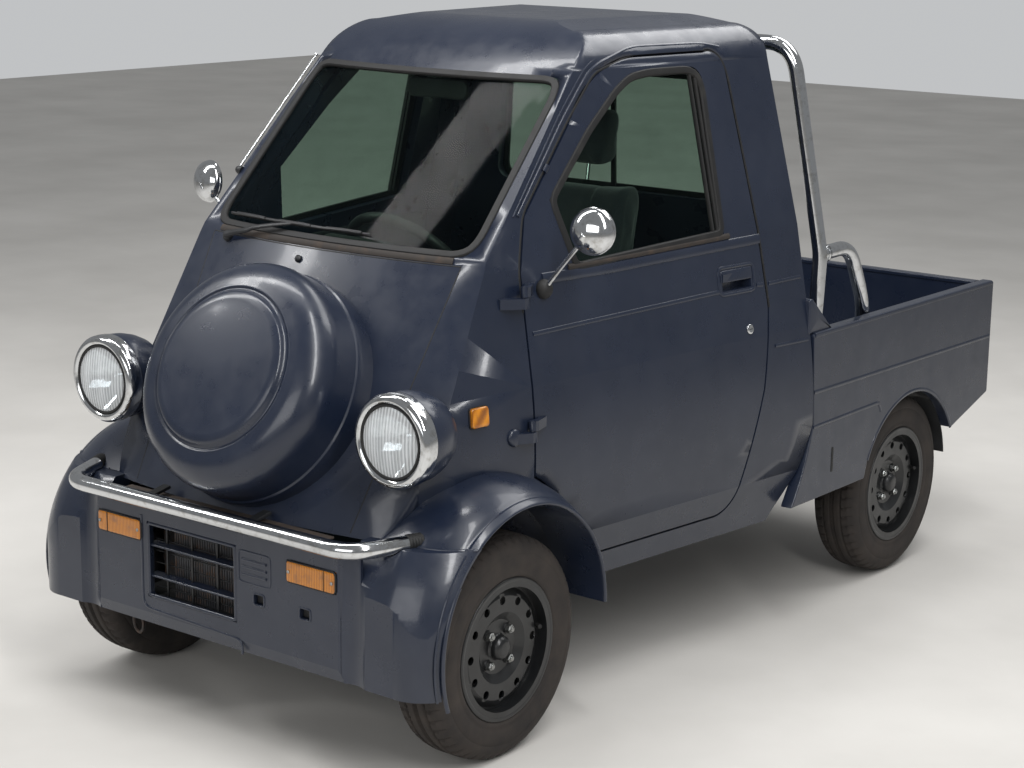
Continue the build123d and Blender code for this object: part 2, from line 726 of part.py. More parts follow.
def make_seat():
    """The seat's base, cushion, back and headrest."""
    low_x = seat_x - seat_half_width
    high_x = seat_x + seat_half_width
    pedestal = block(low_x + 20, high_x - 20, 560, 1000, sill_height + wall, seat_base_z)
    carrier = block(seat_x - 60, seat_x + 60, 1000, 1066, seat_base_z - 40, seat_base_z)
    upright = [
        (1047.0, seat_base_z - 40), (1066.0, seat_base_z - 40), (1112.0, 900.0), (1087.4, 900.0),
        (1047.0, 676.0),
    ]
    pedestal = pedestal + carrier + side_prism(upright, seat_x - 60, seat_x + 60)
    base = seat_base_z + soft_gap
    top = base + cushion_thickness
    cushion_line = [
        (505.0, base), (1000.0, base), (1040.0, base + 40.0), (1046.0, top - 20.0), (1020.0, top),
        (560.0, top), (505.0, top - 10.0, 492.0, top - 60.0),
    ]
    cushion = side_prism(cushion_line, low_x, high_x)
    back_line = [
        (940.0, top + soft_gap), (1044.0, top + soft_gap), (1130.0, 1130.0), (1120.0, 1178.0, 1080.0, 1184.0),
        (1036.0, 1178.0, 1024.0, 1140.0),
    ]
    back = side_prism(back_line, low_x + 10, high_x - 10)
    rest_line = [
        (1046.0, 1216.0), (1112.0, 1216.0), (1136.0, 1230.0, 1146.0, 1260.0), (1158.0, 1350.0),
        (1140.0, 1382.0, 1100.0, 1376.0), (1066.0, 1350.0), (1040.0, 1256.0),
    ]
    rest = side_prism(rest_line, seat_x - 120, seat_x + 120)
    for x in (seat_x - 50, seat_x + 50):
        rest = rest + rod((x, 1084.0, 1184.0 - 6.0), (x, 1092.0, 1230.0), 6.0)
    rest = rest - back
    return largest(pedestal), cushion, back, largest(rest)


def make_chassis():
    """The two side rails with their crossmembers and the bearers under the bed."""
    front = bumper_face_y + bumper_wall
    rear = bed_rear_y - 27.0
    line = [
        (front, rail_low_z), (kick_y + 30.0, rail_low_z), (kick_y + 250.0, rail_rear_z), (rear, rail_rear_z),
        (rear, bearer_low_z), (kick_y + 220.0, bearer_low_z), (kick_y, rail_top_z), (front, rail_top_z),
    ]
    rail = side_prism(line, rail_inner_x, rail_outer_x)
    frame = rail + mirrored(rail)
    inner = rail_inner_x + 5.0
    low = rail_low_z + 8.0
    frame = frame + block(-inner, inner, front, front + 56, rail_low_z, rail_low_z + 48)
    for y in (-30.0, 600.0, 1120.0):
        frame = frame + block(-inner, inner, y, y + 60, low, low + 40)
    frame = frame + block(-inner, inner, 2230, 2290, rail_rear_z + 8, rail_rear_z + 48)
    eye = block(-6, 6, 2280, tow_eye_y + 22, rail_rear_z - 38, rail_rear_z + 8)
    eye = eye - rod((-10, tow_eye_y, tow_eye_z), (10, tow_eye_y, tow_eye_z), tow_eye_radius)
    frame = frame + eye
    side = bed_half_width - bed_wall
    for y in (1290.0, 1536.0, 2120.0, 2236.0):
        frame = frame + block(-side, side, y, y + 40, bearer_low_z, bearer_low_z + bearer_height)
    return largest(frame)


def make_bed():
    """The bed's floor with its front wall, and both of its sides."""
    side = bed_half_width - bed_wall
    rear = gate_axis_y - gate_lug_radius - gate_gap
    bottom = bed_floor_z - bed_floor_thickness
    floor = block(-side, side, bed_front_y, rear, bottom, bed_floor_z)
    floor = floor + block(-side, side, bed_front_y, bed_front_y + 30, bottom, bed_rail_z)
    seam_low = bed_floor_z - seam_depth
    floor = floor - block(-side, side, hatch_rear_y, hatch_rear_y + seam_width, seam_low, bed_floor_z)
    rise = 391.0 - axle_z
    angle = degrees(atan2(rise, (rear_arch_radius ** 2 - rise ** 2) ** 0.5))
    arch_front = at_angle(rear_arch_radius, 180.0 - angle, rear_axle_y, axle_z)
    arch_top = at_angle(rear_arch_radius, 90.0, rear_axle_y, axle_z)
    arch_rear = at_angle(rear_arch_radius, angle, rear_axle_y, axle_z)
    line = [
        (bed_front_y - 18.0, bed_rail_z), (bed_front_y, 560.0),
        (bed_front_y - 33.0, 460.0, bed_front_y - 99.0, bed_skirt_z), (arch_front[0] - 16.0, bed_skirt_z),
        arch_front, arch_top + arch_rear, (bed_rear_y, 462.0), (bed_rear_y, bed_rail_z),
    ]
    panel = side_prism(line, side, bed_half_width)
    return floor, both(panel)


def make_tailgate():
    """The tailgate with its pivot lugs, and the valance below it with the pivot rod."""
    side = bed_half_width - bed_wall
    half = side - gate_side_gap
    front = gate_axis_y - 7.0
    gate = block(-half, half, front, front + gate_thickness, bed_floor_z + 7, bed_rail_z - 5)
    pin = rod((-side, gate_axis_y, gate_axis_z), (side, gate_axis_y, gate_axis_z), gate_pin_radius)
    for x in (-480.0, 0.0, 480.0):
        lug = rod((x - 20, gate_axis_y, gate_axis_z), (x + 20, gate_axis_y, gate_axis_z), gate_lug_radius)
        web = block(x - 20, x + 20, front, front + 21, gate_axis_z, bed_floor_z + 10)
        gate = gate + lug + web
    bore_radius = gate_pin_radius + bearing_play
    bore = rod((-side, gate_axis_y, gate_axis_z), (side, gate_axis_y, gate_axis_z), bore_radius)
    valance = block(-side, side, bed_rear_y - 27, bed_rear_y, 440, 545)
    return largest(gate - bore), solids_of(valance, pin)


def make_roll_bar():
    """The hoop behind the cab, with a brace down to the bed floor at each side."""
    tube_end = bed_floor_z + foot_plate - 2.0
    foot = (roll_foot_x, roll_hoop_y, tube_end)
    bend = (578.0, roll_hoop_y + 5.0, 1000.0)
    top = (500.0, roll_hoop_y - 54.0, 1560.0)
    left = [foot, bend, top]
    right = [(-x, y, z) for x, y, z in reversed(left)]
    hoop = pipe(left + right, 90.0, roll_tube_radius)
    brace_line = [
        (578.0, roll_hoop_y + 6.0, 1000.0), (578.0, roll_brace_y - 105.0, 1003.0),
        (578.0, roll_brace_y - 15.0, 835.0), (575.0, roll_brace_y, tube_end),
    ]
    brace = pipe(brace_line, 60.0, roll_tube_radius)
    bar = hoop + brace + mirrored(brace)
    for y in (roll_hoop_y, roll_brace_y):
        for x in (roll_foot_x, -roll_foot_x):
            bar = bar + block(x - 34, x + 34, y - 40, y + 40, bed_floor_z, bed_floor_z + foot_plate)
    return largest(bar)


def make_wheel(axle_y):
    """The left tyre and rim at an axle."""
    inner = track_half - tyre_width / 2
    centre = (inner, axle_y, axle_z)
    outward = (1, 0, 0)
    w = tyre_width
    r = tyre_radius
    tyre = turned([
        (bead_radius, 10.0), (rim_lip_radius + 2, 10.0), (rim_lip_radius + 6, 5.0),
        (r - 48.0, 0.53, r - 18.0, 8.0), (r - 5.6, 14.0, r, 26.0), (r, w - 26.0),
        (r - 5.6, w - 14.0, r - 18.0, w - 8.0), (r - 48.0, w - 0.53, rim_lip_radius + 6, w - 5.0),
        (rim_lip_radius + 2, w - 10.0), (bead_radius, w - 10.0),
    ], centre, outward)
    well = bead_radius - rim_wall
    rim = turned([
        (rim_lip_radius, 4.0), (rim_lip_radius, 10.0), (bead_radius, 10.0), (bead_radius, w - 10.0),
        (rim_lip_radius, w - 10.0), (rim_lip_radius, w - 4.0), (well, w - 4.0), (well, 4.0),
    ], centre, outward)
    d = w - wheel_disc_depth
    disc = turned([
        (0.0, d - 5.0), (64.0, d - 5.0), (84.0, d + 10.0), (122.0, d + 10.0), (140.0, d), (well + 1, d),
        (well + 1, d - 6.0), (138.0, d - 6.0), (120.0, d + 4.0), (88.0, d + 4.0), (68.0, d - 11.0),
        (0.0, d - 11.0),
    ], centre, outward)
    drum = turned([
        (0.0, 44.0), (hub_drum_radius, 44.0), (hub_drum_radius, 78.0), (66.0, d - 6.0), (0.0, d - 6.0),
    ], centre, outward)
    cap = turned([
        (0.0, d - 6.0), (28.0, d - 6.0), (28.0, d + 10.0), (22.0, d + 18.0), (0.0, d + 20.0),
    ], centre, outward)
    rim = rim + disc + drum + cap
    for index in range(wheel_hole_count):
        y, z = at_angle(113.0, 360.0 * index / wheel_hole_count, axle_y, axle_z)
        rim = rim - rod((inner + d - 2, y, z), (inner + d + 16, y, z), 10.0)
    for index in range(wheel_stud_count):
        y, z = at_angle(50.0, 45.0 + 360.0 * index / wheel_stud_count, axle_y, axle_z)
        rim = rim + rod((inner + d - 10, y, z), (inner + d + 6, y, z), 8.5)
    bore_radius = spindle_radius + bearing_play
    bore = rod((inner + 30, axle_y, axle_z), (spindle_end + 1, axle_y, axle_z), bore_radius)
    return tyre, largest(rim - bore)


def kingpin(z):
    """A point on the left wheel's steering axis."""
    return (steer_offset - (z - axle_z) * tan(radians(steer_inclination)), 0.0, z)


def make_knuckle():
    """The left steering knuckle: plate, spindle, lower ball pin, and the strut above."""
    plate = block(478, 496, -32, 32, arm_low_z + 18, 372)
    lower = block(478, kingpin(arm_low_z)[0] + 14, -13, 13, arm_low_z + 18, arm_low_z + 32)
    spindle = rod((490, 0, axle_z), (spindle_end, 0, axle_z), spindle_radius)
    collar = rod((490, 0, axle_z), (drum_face_x - soft_gap, 0, axle_z), 24.0)
    ball = rod(kingpin(arm_low_z + 25), kingpin(arm_low_z), ball_pin_radius)
    bracket = block(446, 496, -14, 14, 335, 372)
    strut = rod((444, 0, 330), (434, 0, 560), strut_radius)
    pin = rod(kingpin(545), kingpin(598), strut_pin_radius)
    shape = plate + lower + spindle + collar + ball + bracket + strut + pin
    return largest(shape)


def make_front_suspension():
    """Both lower arms and the strut mounts under the wheel housings."""
    low = arm_low_z
    high = low + arm_thickness
    end = kingpin(low)[0] + 14
    plan = [(rail_inner_x + 5, -62.0), (rail_outer_x, -62.0), (400.0, -22.0), (end, -13.0), (end, 13.0),
            (400.0, 22.0), (rail_outer_x, 62.0), (rail_inner_x + 5, 62.0)]
    arm = plan_prism(plan, low, high)
    for y in (-62.0, 42.0):
        arm = arm + block(rail_inner_x + 5, rail_outer_x, y, y + 20, low, rail_low_z)
    arm = arm - rod(kingpin(low - 10), kingpin(high + 10), ball_pin_radius + bearing_play)
    mount = common(rod(kingpin(578), kingpin(640), mount_radius), well_left)
    mount = mount - rod(kingpin(560), kingpin(604), strut_pin_radius + bearing_play)
    return both(solids_of(largest(arm), largest(mount)))


def make_rear_axle():
    """The rear axle's tube with its differential, spring pads and spindles."""
    flange = track_half - tyre_width / 2 + 5.0
    collar = drum_face_x - soft_gap
    tube = turned([
        (0.0, -80.0), (60.0, -70.0), (95.0, -20.0), (95.0, 20.0), (60.0, 70.0), (0.0, 80.0),
    ], (0, rear_axle_y, axle_z), (1, 0, 0))
    for half, radius in ((flange, 30.0), (collar, 24.0), (spindle_end, spindle_radius)):
        tube = tube + rod((-half, rear_axle_y, axle_z), (half, rear_axle_y, axle_z), radius)
    pad = block(378, 422, rear_axle_y - 35, rear_axle_y + 35, axle_z, axle_z + 37)
    return largest(tube + pad + mirrored(pad))


def make_leaf_springs():
    """The leaf springs that stand on the axle's pads, with hangers to the rails."""
    pad_z = axle_z + 37.0
    line = [
        (1420.0, 432.0), (1600.0, 352.0), (1760.0, pad_z + 2.0), (1800.0, pad_z), (1880.0, pad_z),
        (1920.0, pad_z + 2.0), (2080.0, 352.0), (2230.0, 418.0), (2230.0, 442.0), (2078.0, 376.0),
        (1915.0, pad_z + 26.0), (1880.0, pad_z + 24.0), (1800.0, pad_z + 24.0), (1765.0, pad_z + 26.0),
        (1602.0, 376.0), (1420.0, 456.0),
    ]
    spring = side_prism(line, 375, 425)
    for y in (1420.0, 2206.0):
        spring = spring + block(rail_outer_x, 425, y, y + 24, rail_rear_z + 5, rail_rear_z + 35)
    return both(largest(spring))


def make_engine():
    """The engine as one block, with its mounts to the rails."""
    engine = block(-200, 200, 1340, 1640, 215, 485)
    for y in (1440.0, 1560.0):
        engine = engine + block(-rail_inner_x, rail_inner_x, y, y + 40, 440, 480)
    return largest(engine)


def make_exhaust():
    """The silencer across the truck's tail, its pipe and two hangers."""
    body = rod((-190, 2175, 335), (190, 2175, 335), 55.0)
    pipe_end = bed_rear_y + 18.0
    outlet = rod((-120, 2175, 320), (-120, pipe_end, 306), 16.0)
    hollow = rod((-120, 2250, 316.4), (-120, pipe_end + 5, 305.7), 12.0)
    shape = body + (outlet - hollow)
    for x in (-1.0, 1.0):
        low, high = sorted((x * 160, x * (rail_outer_x - 5)))
        shape = shape + block(low, high, 2168, 2182, 380, 390)
        low, high = sorted((x * (rail_inner_x + 5), x * (rail_outer_x - 5)))
        shape = shape + block(low, high, 2168, 2182, 380, rail_rear_z)
    return largest(shape)


def make_fuel_tank():
    """The fuel tank under the cab, hung from the rails by its flange."""
    tank = block(-225, 225, 760, 1130, 168, rail_low_z)
    return tank + block(-rail_outer_x, rail_outer_x, 770, 1120, rail_low_z - 6, rail_low_z)


def tail_lamps():
    """Two lamps on the valance, and their amber and red lenses as one piece each."""
    return both(block(470, 590, bed_rear_y, wheelbase + rear_overhang, 455, 535))


door_left, glass_left = make_doors()
windscreen, rear_window = make_glass()
cab_floor, nose_panel, cab_shell = split_cab(make_cab_shell())
headlamp_shells, headlamp_rings, headlamp_lenses = make_headlamps()
mirror_left = make_mirror()
steering_column, steering_wheel = make_steering()
seat_pedestal, seat_cushion, seat_back, headrest = make_seat()
bed_floor, bed_sides = make_bed()
tailgate, rear_valance = make_tailgate()
tyre_front, rim_front = make_wheel(0.0)
tyre_rear, rim_rear = make_wheel(rear_axle_y)
knuckle = make_knuckle()

pieces = {
    "chassis_frame": make_chassis(),
    "cab_floor": cab_floor,
    "cab_shell": cab_shell,
    "nose_panel": nose_panel,
    "front_wings": make_wings(),
    "bumper_cover": make_bumper_cover(),
    "bumper_bar": make_bumper_bar(),
    "grille": make_grille(),
    "radiator": block(-170, 170, -300, -262, rail_low_z + 48, 500),
    "windscreen": windscreen,
    "rear_window": rear_window,
    "spare_wheel_cover": make_spare_cover(),
    "headlamp_shells": headlamp_shells,
    "headlamp_rings": headlamp_rings,
    "headlamp_lenses": headlamp_lenses,
    "turn_signals": solids_of(*turn_signal_blocks()),
    "side_markers": make_side_markers(),
    "tail_lamps": tail_lamps(),
    "wiper": make_wiper(),
    "antenna": make_antenna(),
    "dashboard": make_dashboard(),
    "seat_pedestal": seat_pedestal,
    "seat_cushion": seat_cushion,
    "seat_back": seat_back,
    "headrest": headrest,
    "steering_column": steering_column,
    "steering_wheel": steering_wheel,
    "bed_floor": bed_floor,
    "bed_sides": bed_sides,
    "roll_bar": make_roll_bar(),
    "rear_valance": rear_valance,
    "tailgate": tailgate,
    "engine_block": make_engine(),
    "exhaust": make_exhaust(),
    "fuel_tank": make_fuel_tank(),
    "rear_axle": make_rear_axle(),
    "leaf_springs": make_leaf_springs(),
    "front_suspension": make_front_suspension(),
}
paired = {
    "door": door_left, "door_glass": glass_left, "mirror": mirror_left, "knuckle": knuckle,
    "front_tyre": tyre_front, "front_rim": rim_front, "rear_tyre": tyre_rear, "rear_rim": rim_rear,
}
for name, left in paired.items():
    pieces[name + "_left"] = left
    pieces[name + "_right"] = mirrored(left)

for name, piece in pieces.items():
    placed = piece.moved(Location((0, front_axle_y, 0)))
    export_step(placed, "parts/" + name + ".step")
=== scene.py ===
"""A small open-bed truck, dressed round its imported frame: paint, seals, trim, wheels, lamps and fittings."""

import json
import math

import bmesh
import bpy
import numpy as np
from bpy.props import FloatProperty, FloatVectorProperty, IntProperty, PointerProperty
from mathutils import Matrix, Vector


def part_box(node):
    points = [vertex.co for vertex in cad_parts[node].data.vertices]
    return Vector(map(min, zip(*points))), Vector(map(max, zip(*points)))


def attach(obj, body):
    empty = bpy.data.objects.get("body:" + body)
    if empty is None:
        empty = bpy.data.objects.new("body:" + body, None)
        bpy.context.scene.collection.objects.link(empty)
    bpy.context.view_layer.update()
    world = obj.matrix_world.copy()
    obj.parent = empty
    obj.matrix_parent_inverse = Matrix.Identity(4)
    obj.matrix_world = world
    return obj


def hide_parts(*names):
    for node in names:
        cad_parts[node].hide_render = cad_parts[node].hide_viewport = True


bl_info = {
    "name": "Open-Bed Truck Dressing",
    "version": (1, 0, 0),
    "blender": (4, 5, 0),
    "location": "View3D > Sidebar > Truck",
    "description": "Paint, seals, trim, wheels, lamps and cab fittings of a small open-bed truck",
    "category": "Object",
}

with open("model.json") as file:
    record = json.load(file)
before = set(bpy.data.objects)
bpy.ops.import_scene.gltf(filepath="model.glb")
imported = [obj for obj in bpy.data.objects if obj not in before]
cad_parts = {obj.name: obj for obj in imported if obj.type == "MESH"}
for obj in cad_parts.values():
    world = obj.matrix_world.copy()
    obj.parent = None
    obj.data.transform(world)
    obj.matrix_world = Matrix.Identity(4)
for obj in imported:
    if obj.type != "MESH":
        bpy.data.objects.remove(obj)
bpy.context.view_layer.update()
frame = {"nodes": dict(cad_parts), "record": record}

# Places are in millimetres: x to the truck's left, y rearwards from the front axle and z up from the ground.
MM = 0.001
FRONT_AXLE_Y = -988.0
WHEELBASE = 1840.0
AXLE_Z = 263.0
TRACK_HALF = 535.0
TYRE_WIDTH = 140.0
TYRE_RADIUS = 263.0
BELT_Z = 1100.0
BELT_HALF_WIDTH = 588.0
CAB_REAR_Y = 1246.0
SIDE_TAPER = 0.113
PIVOT_Y = 2000.0
NOSE_FOOT = (-283.0, 540.0)
SCREEN_FOOT = (38.0, 1125.0)
SCREEN_HEAD = (428.0, 1536.0)
BUMPER_Y = -340.0
BED_SIDE_X = 641.0
BED_INNER_X = 606.0
BED_FLOOR_Z = 585.0
RAIL_Z = 805.0
SIDES = (("left", 1.0), ("right", -1.0))
LEFT, RIGHT = (1.0, 0.0, 0.0), (-1.0, 0.0, 0.0)
FRONT, REAR = (0.0, -1.0, 0.0), (0.0, 1.0, 0.0)
UP = (0.0, 0.0, 1.0)


def linear(colour):
    """An sRGB hex colour as the linear values that shaders take."""
    value = np.array([int(colour[i:i + 2], 16) for i in (1, 3, 5)]) / 255
    value = np.where(value <= 0.04045, value / 12.92, ((value + 0.055) / 1.055) ** 2.4)
    return (*value.tolist(), 1.0)


def add_node(tree, kind, inputs=None, **settings):
    """Adds a shader node with its settings, and gives its sockets values or links."""
    node = tree.nodes.new("ShaderNode" + kind)
    for name, value in settings.items():
        setattr(node, name, value)
    for socket, value in (inputs or {}).items():
        if isinstance(value, bpy.types.NodeSocket):
            tree.links.new(value, node.inputs[socket])
        else:
            node.inputs[socket].default_value = value
    return node


def new_finish(name):
    """A material with an empty tree, and its Object coordinates in metres."""
    material = bpy.data.materials.new(name)
    material.use_nodes = True
    tree = material.node_tree
    tree.nodes.clear()
    return tree, add_node(tree, "TexCoord").outputs["Object"]


def close_finish(tree, sockets, height=None, bump=0.1, depth=1.0):
    """Ends a tree in one surface shader, bumped by a height that is worth depth millimetres."""
    if height is not None:
        normal = add_node(tree, "Bump", {"Height": height, "Strength": bump, "Distance": depth * MM})
        sockets = {**sockets, "Normal": normal.outputs["Normal"]}
    surface = add_node(tree, "BsdfPrincipled", sockets)
    add_node(tree, "OutputMaterial", {"Surface": surface.outputs[0]})


def noise(tree, place, size, detail=3.0, roughness=0.55):
    """Noise whose lumps are about size millimetres across."""
    inputs = {"Vector": place, "Scale": 1 / (size * MM), "Detail": detail, "Roughness": roughness}
    return add_node(tree, "TexNoise", inputs).outputs[0]


def spread(tree, factor, low, high, start=0.0, end=1.0):
    """A number that goes from start to end while the factor goes from low to high."""
    return add_node(tree, "MapRange", {0: factor, 1: low, 2: high, 3: start, 4: end}).outputs[0]


def mixed(tree, factor, low, high):
    """A colour between two others."""
    return add_node(tree, "Mix", {0: factor, 6: low, 7: high}, data_type="RGBA").outputs[2]


def maths(tree, operation, a, b=0.0):
    """Two numbers combined."""
    return add_node(tree, "Math", {0: a, 1: b}, operation=operation).outputs[0]


def ripples(tree, value, pitch):
    """A sine of a place, one wave each pitch millimetres."""
    return maths(tree, "SINE", maths(tree, "MULTIPLY", value, 2 * math.pi / (pitch * MM)))


def see_through(tree, tint, share, gloss, **extra):
    """Ends a tree in clear glass under a gloss that shows by share and edge, only on the face met first."""
    clear = add_node(tree, "BsdfTransparent", {"Color": linear(tint)})
    skin = add_node(tree, "BsdfPrincipled", {**gloss, **extra, "IOR": 1.5})
    edge = add_node(tree, "Fresnel", {"IOR": 1.45, **extra}).outputs[0]
    front = maths(tree, "SUBTRACT", 1.0, add_node(tree, "NewGeometry").outputs["Backfacing"])
    share = maths(tree, "MULTIPLY", maths(tree, "ADD", share, edge), front)
    blend = add_node(tree, "MixShader", {0: share, 1: clear.outputs[0], 2: skin.outputs[0]})
    add_node(tree, "OutputMaterial", {"Surface": blend.outputs[0]})


def enamel(name, colour, faded, rough, dust):
    """Sprayed and baked enamel that has stood outside: the eye sees a soft gloss over an even colour, dull
    clouds a hand wide, and a film of road dust that thickens towards the sills."""
    tree, place = new_finish(name)
    clouds = spread(tree, noise(tree, place, 240, 4.0), 0.4, 0.7)
    base = mixed(tree, clouds, linear(colour), linear(faded))
    height = add_node(tree, "SeparateXYZ", {0: place}).outputs[2]
    low = spread(tree, height, 0.75, 0.2, 0.02, dust)
    film = spread(tree, noise(tree, place, 90, 4.0, 0.6), 0.3, 0.8)
    base = mixed(tree, maths(tree, "MULTIPLY", low, film), base, linear("#585c64"))
    dull = spread(tree, noise(tree, place, 55, 4.0), 0.35, 0.75, rough, rough + 0.14)
    sockets = {"Base Color": base, "Roughness": dull, "IOR": 1.5, "Coat Weight": 0.25, "Coat Roughness": 0.08}
    close_finish(tree, sockets, noise(tree, place, 5, 1.0), 0.04, 0.5)


def plating(name, colour, rough, wear):
    """Polished nickel and chromium plating: the eye sees a mirror that fine scuffs dull in streaks."""
    tree, place = new_finish(name)
    scuffs = noise(tree, place, 22, 6.0, 0.7)
    tint = mixed(tree, spread(tree, scuffs, 0.5, 0.8), linear(colour), linear("#96938c"))
    dull = spread(tree, scuffs, 0.4, 0.75, rough, rough + wear)
    close_finish(tree, {"Base Color": tint, "Metallic": 1.0, "Roughness": dull}, scuffs, 0.03, 0.4)


def moulding(name, colour, worn, rough, grain=1.4, bump=0.2):
    """Moulded polypropylene or rubber: the eye sees a fine even grain with paler scuffed places."""
    tree, place = new_finish(name)
    wear = spread(tree, noise(tree, place, 40, 5.0, 0.65), 0.5, 0.78)
    base = mixed(tree, wear, linear(colour), linear(worn))
    dull = spread(tree, wear, 0.0, 1.0, rough, min(rough + 0.2, 0.95))
    close_finish(tree, {"Base Color": base, "Roughness": dull, "IOR": 1.5}, noise(tree, place, grain, 2.0),
                 bump, 0.3)


def bare_iron(name, colour, rust, metal, rough=0.55):
    """Cast or pressed iron under the body: the eye sees dark metal with rust and road dirt in patches."""
    tree, place = new_finish(name)
    wear = spread(tree, noise(tree, place, 36, 6.0, 0.7), 0.47, 0.64)
    base = mixed(tree, wear, linear(colour), linear(rust))
    shine = spread(tree, wear, 0.0, 1.0, metal, 0.0)
    dull = spread(tree, wear, 0.0, 1.0, rough, 0.9)
    close_finish(tree, {"Base Color": base, "Metallic": shine, "Roughness": dull},
                 noise(tree, place, 5, 4.0), 0.25, 0.8)


def sheet_glass(name, tint, film, dark="#1b2124"):
    """Toughened window glass: the eye looks through a faint green tint, under a mirror-like gloss and a thin
    film on the face that it meets first."""
    tree, place = new_finish(name)
    haze = spread(tree, noise(tree, place, 110, 3.0), 0.4, 0.8, film, film + 0.05)
    see_through(tree, tint, haze, {"Base Color": linear(dark), "Roughness": 0.04})


def fluted_glass(name, pitch=9.0):
    """Pressed lamp glass: upright flutes under a pale white skin whose share rises on each flute as a painted
    highlight in upright stripes, and the bright bowl behind.
    """
    tree, place = new_finish(name)
    across = add_node(tree, "SeparateXYZ", {0: place}).outputs[0]
    ribs = ripples(tree, across, pitch)
    normal = add_node(tree, "Bump", {"Height": ribs, "Strength": 0.7, "Distance": MM}).outputs["Normal"]
    # The white skin's share follows the flutes: painted highlights in upright stripes over the clear glass.
    share = spread(tree, ribs, -1.0, 1.0, 0.3, 0.6)
    see_through(tree, "#f4f7f8", share, {"Base Color": linear("#f1f4f6"), "Roughness": 0.14}, Normal=normal)


def lamp_lens(name, colour, deep, pitch=5.0):
    """Moulded acrylic lens: a glossy coloured skin over upright ribs a few millimetres apart, each rib painted
    from the lit colour to the deeper one as painted highlight and shade, with brown dirt in patches.
    """
    tree, place = new_finish(name)
    across = add_node(tree, "SeparateXYZ", {0: place}).outputs[0]
    ribs = ripples(tree, across, pitch)
    # Each rib goes from the colour to the deep one across its width: painted light and shade on the ribs, not
    # a real change of tint.
    base = mixed(tree, spread(tree, ribs, -1.0, 1.0), linear(colour), linear(deep))
    base = mixed(tree, spread(tree, noise(tree, place, 25, 3.0), 0.5, 0.9), base, linear("#6b4a34"))
    close_finish(tree, {"Base Color": base, "Roughness": 0.16, "IOR": 1.49, "Coat Weight": 0.4}, ribs, 0.35,
                 0.5)


def weave(name, colour, thread, pitch=2.4):
    """Plain woven upholstery: the eye sees crossing threads, drawn coarser than life to show, and soil."""
    tree, place = new_finish(name)
    threads = [ripples(tree, axis, pitch) for axis in add_node(tree, "SeparateXYZ", {0: place}).outputs]
    crossings = [maths(tree, "MULTIPLY", threads[0], threads[i]) for i in (1, 2)]
    cloth = maths(tree, "ADD", *crossings)
    base = mixed(tree, spread(tree, cloth, -1.2, 1.2), linear(colour), linear(thread))
    base = mixed(tree, spread(tree, noise(tree, place, 80, 4.0), 0.45, 0.8, 0.0, 0.4), base,
                 linear("#4d4b48"))
    sockets = {"Base Color": base, "Roughness": 0.92, "Sheen Weight": 0.25, "Sheen Roughness": 0.5}
    close_finish(tree, sockets, cloth, 0.3, 0.5)


def tyre_rubber(name):
    """Vulcanised tread rubber: the eye sees a dull near-black with brown road dust in its hollows."""
    tree, place = new_finish(name)
    dust = spread(tree, noise(tree, place, 70, 6.0, 0.6), 0.3, 0.8)
    base = mixed(tree, dust, linear("#221f1e"), linear("#3b342f"))
    close_finish(tree, {"Base Color": base, "Roughness": 0.88, "IOR": 1.5}, noise(tree, place, 3, 3.0), 0.35,
                 0.4)


def floated_floor(name):
    """Power-floated concrete: the eye sees a pale matt floor with faint clouds."""
    tree, place = new_finish(name)
    clouds = spread(tree, noise(tree, place, 800, 5.0), 0.35, 0.7)
    base = mixed(tree, clouds, linear("#c6c3be"), linear("#d3d0cb"))
    close_finish(tree, {"Base Color": base, "Roughness": 0.7}, noise(tree, place, 16, 4.0), 0.06, 1.0)


def make_finishes(colours):
    """Makes every material of the truck and its stage."""
    body = "#" + "".join("%02x" % round(255 * value) for value in colours.body_colour)
    enamel("body enamel", body, colours_faded(body), 0.26, 0.12)
    enamel("bed enamel", "#19202c", "#222a36", 0.45, 0.25)
    enamel("black chassis paint", "#151617", "#222120", 0.5, 0.3)
    enamel("black wheel enamel", "#0b0c0d", "#121416", 0.36, 0.05)
    plating("chromium plate", "#d6d8da", 0.06, 0.14)
    plating("lamp reflector silver", "#e4e6e8", 0.03, 0.05)
    plating("zinc plated steel", "#9b9d9c", 0.3, 0.2)
    moulding("black rubber", "#121213", "#242321", 0.6)
    moulding("black moulded plastic", "#1b1c1e", "#2f3033", 0.42)
    moulding("grey moulded plastic", "#3b3e42", "#4a4d51", 0.55, 2.0, 0.35)
    moulding("door card vinyl", "#34373c", "#43464b", 0.6, 2.4, 0.4)
    moulding("brown weathered rubber", "#2c2622", "#4a3d33", 0.7)
    moulding("dusty tray paint", "#3d342e", "#5a4d43", 0.8, 3.0)
    bare_iron("cast iron", "#55565a", "#5c4636", 0.7)
    bare_iron("spring steel", "#2a2a2c", "#4c3a2e", 0.4)
    sheet_glass("toughened window glass", "#e2ece6", 0.02)
    fluted_glass("lamp glass with painted highlights")
    lamp_lens("amber acrylic", "#cf8420", "#96560f")
    lamp_lens("red acrylic", "#a3201c", "#6d1210")
    weave("woven seat cloth", "#25272c", "#3d4047")
    tyre_rubber("tyre rubber")
    floated_floor("floated concrete")


def colours_faded(colour):
    """The same hex colour as sun and road dust leave it: each channel moved a little towards a light grey."""
    channels = [int(colour[i:i + 2], 16) for i in (1, 3, 5)]
    return "#" + "".join("%02x" % round(value + (150 - value) * 0.06) for value in channels)


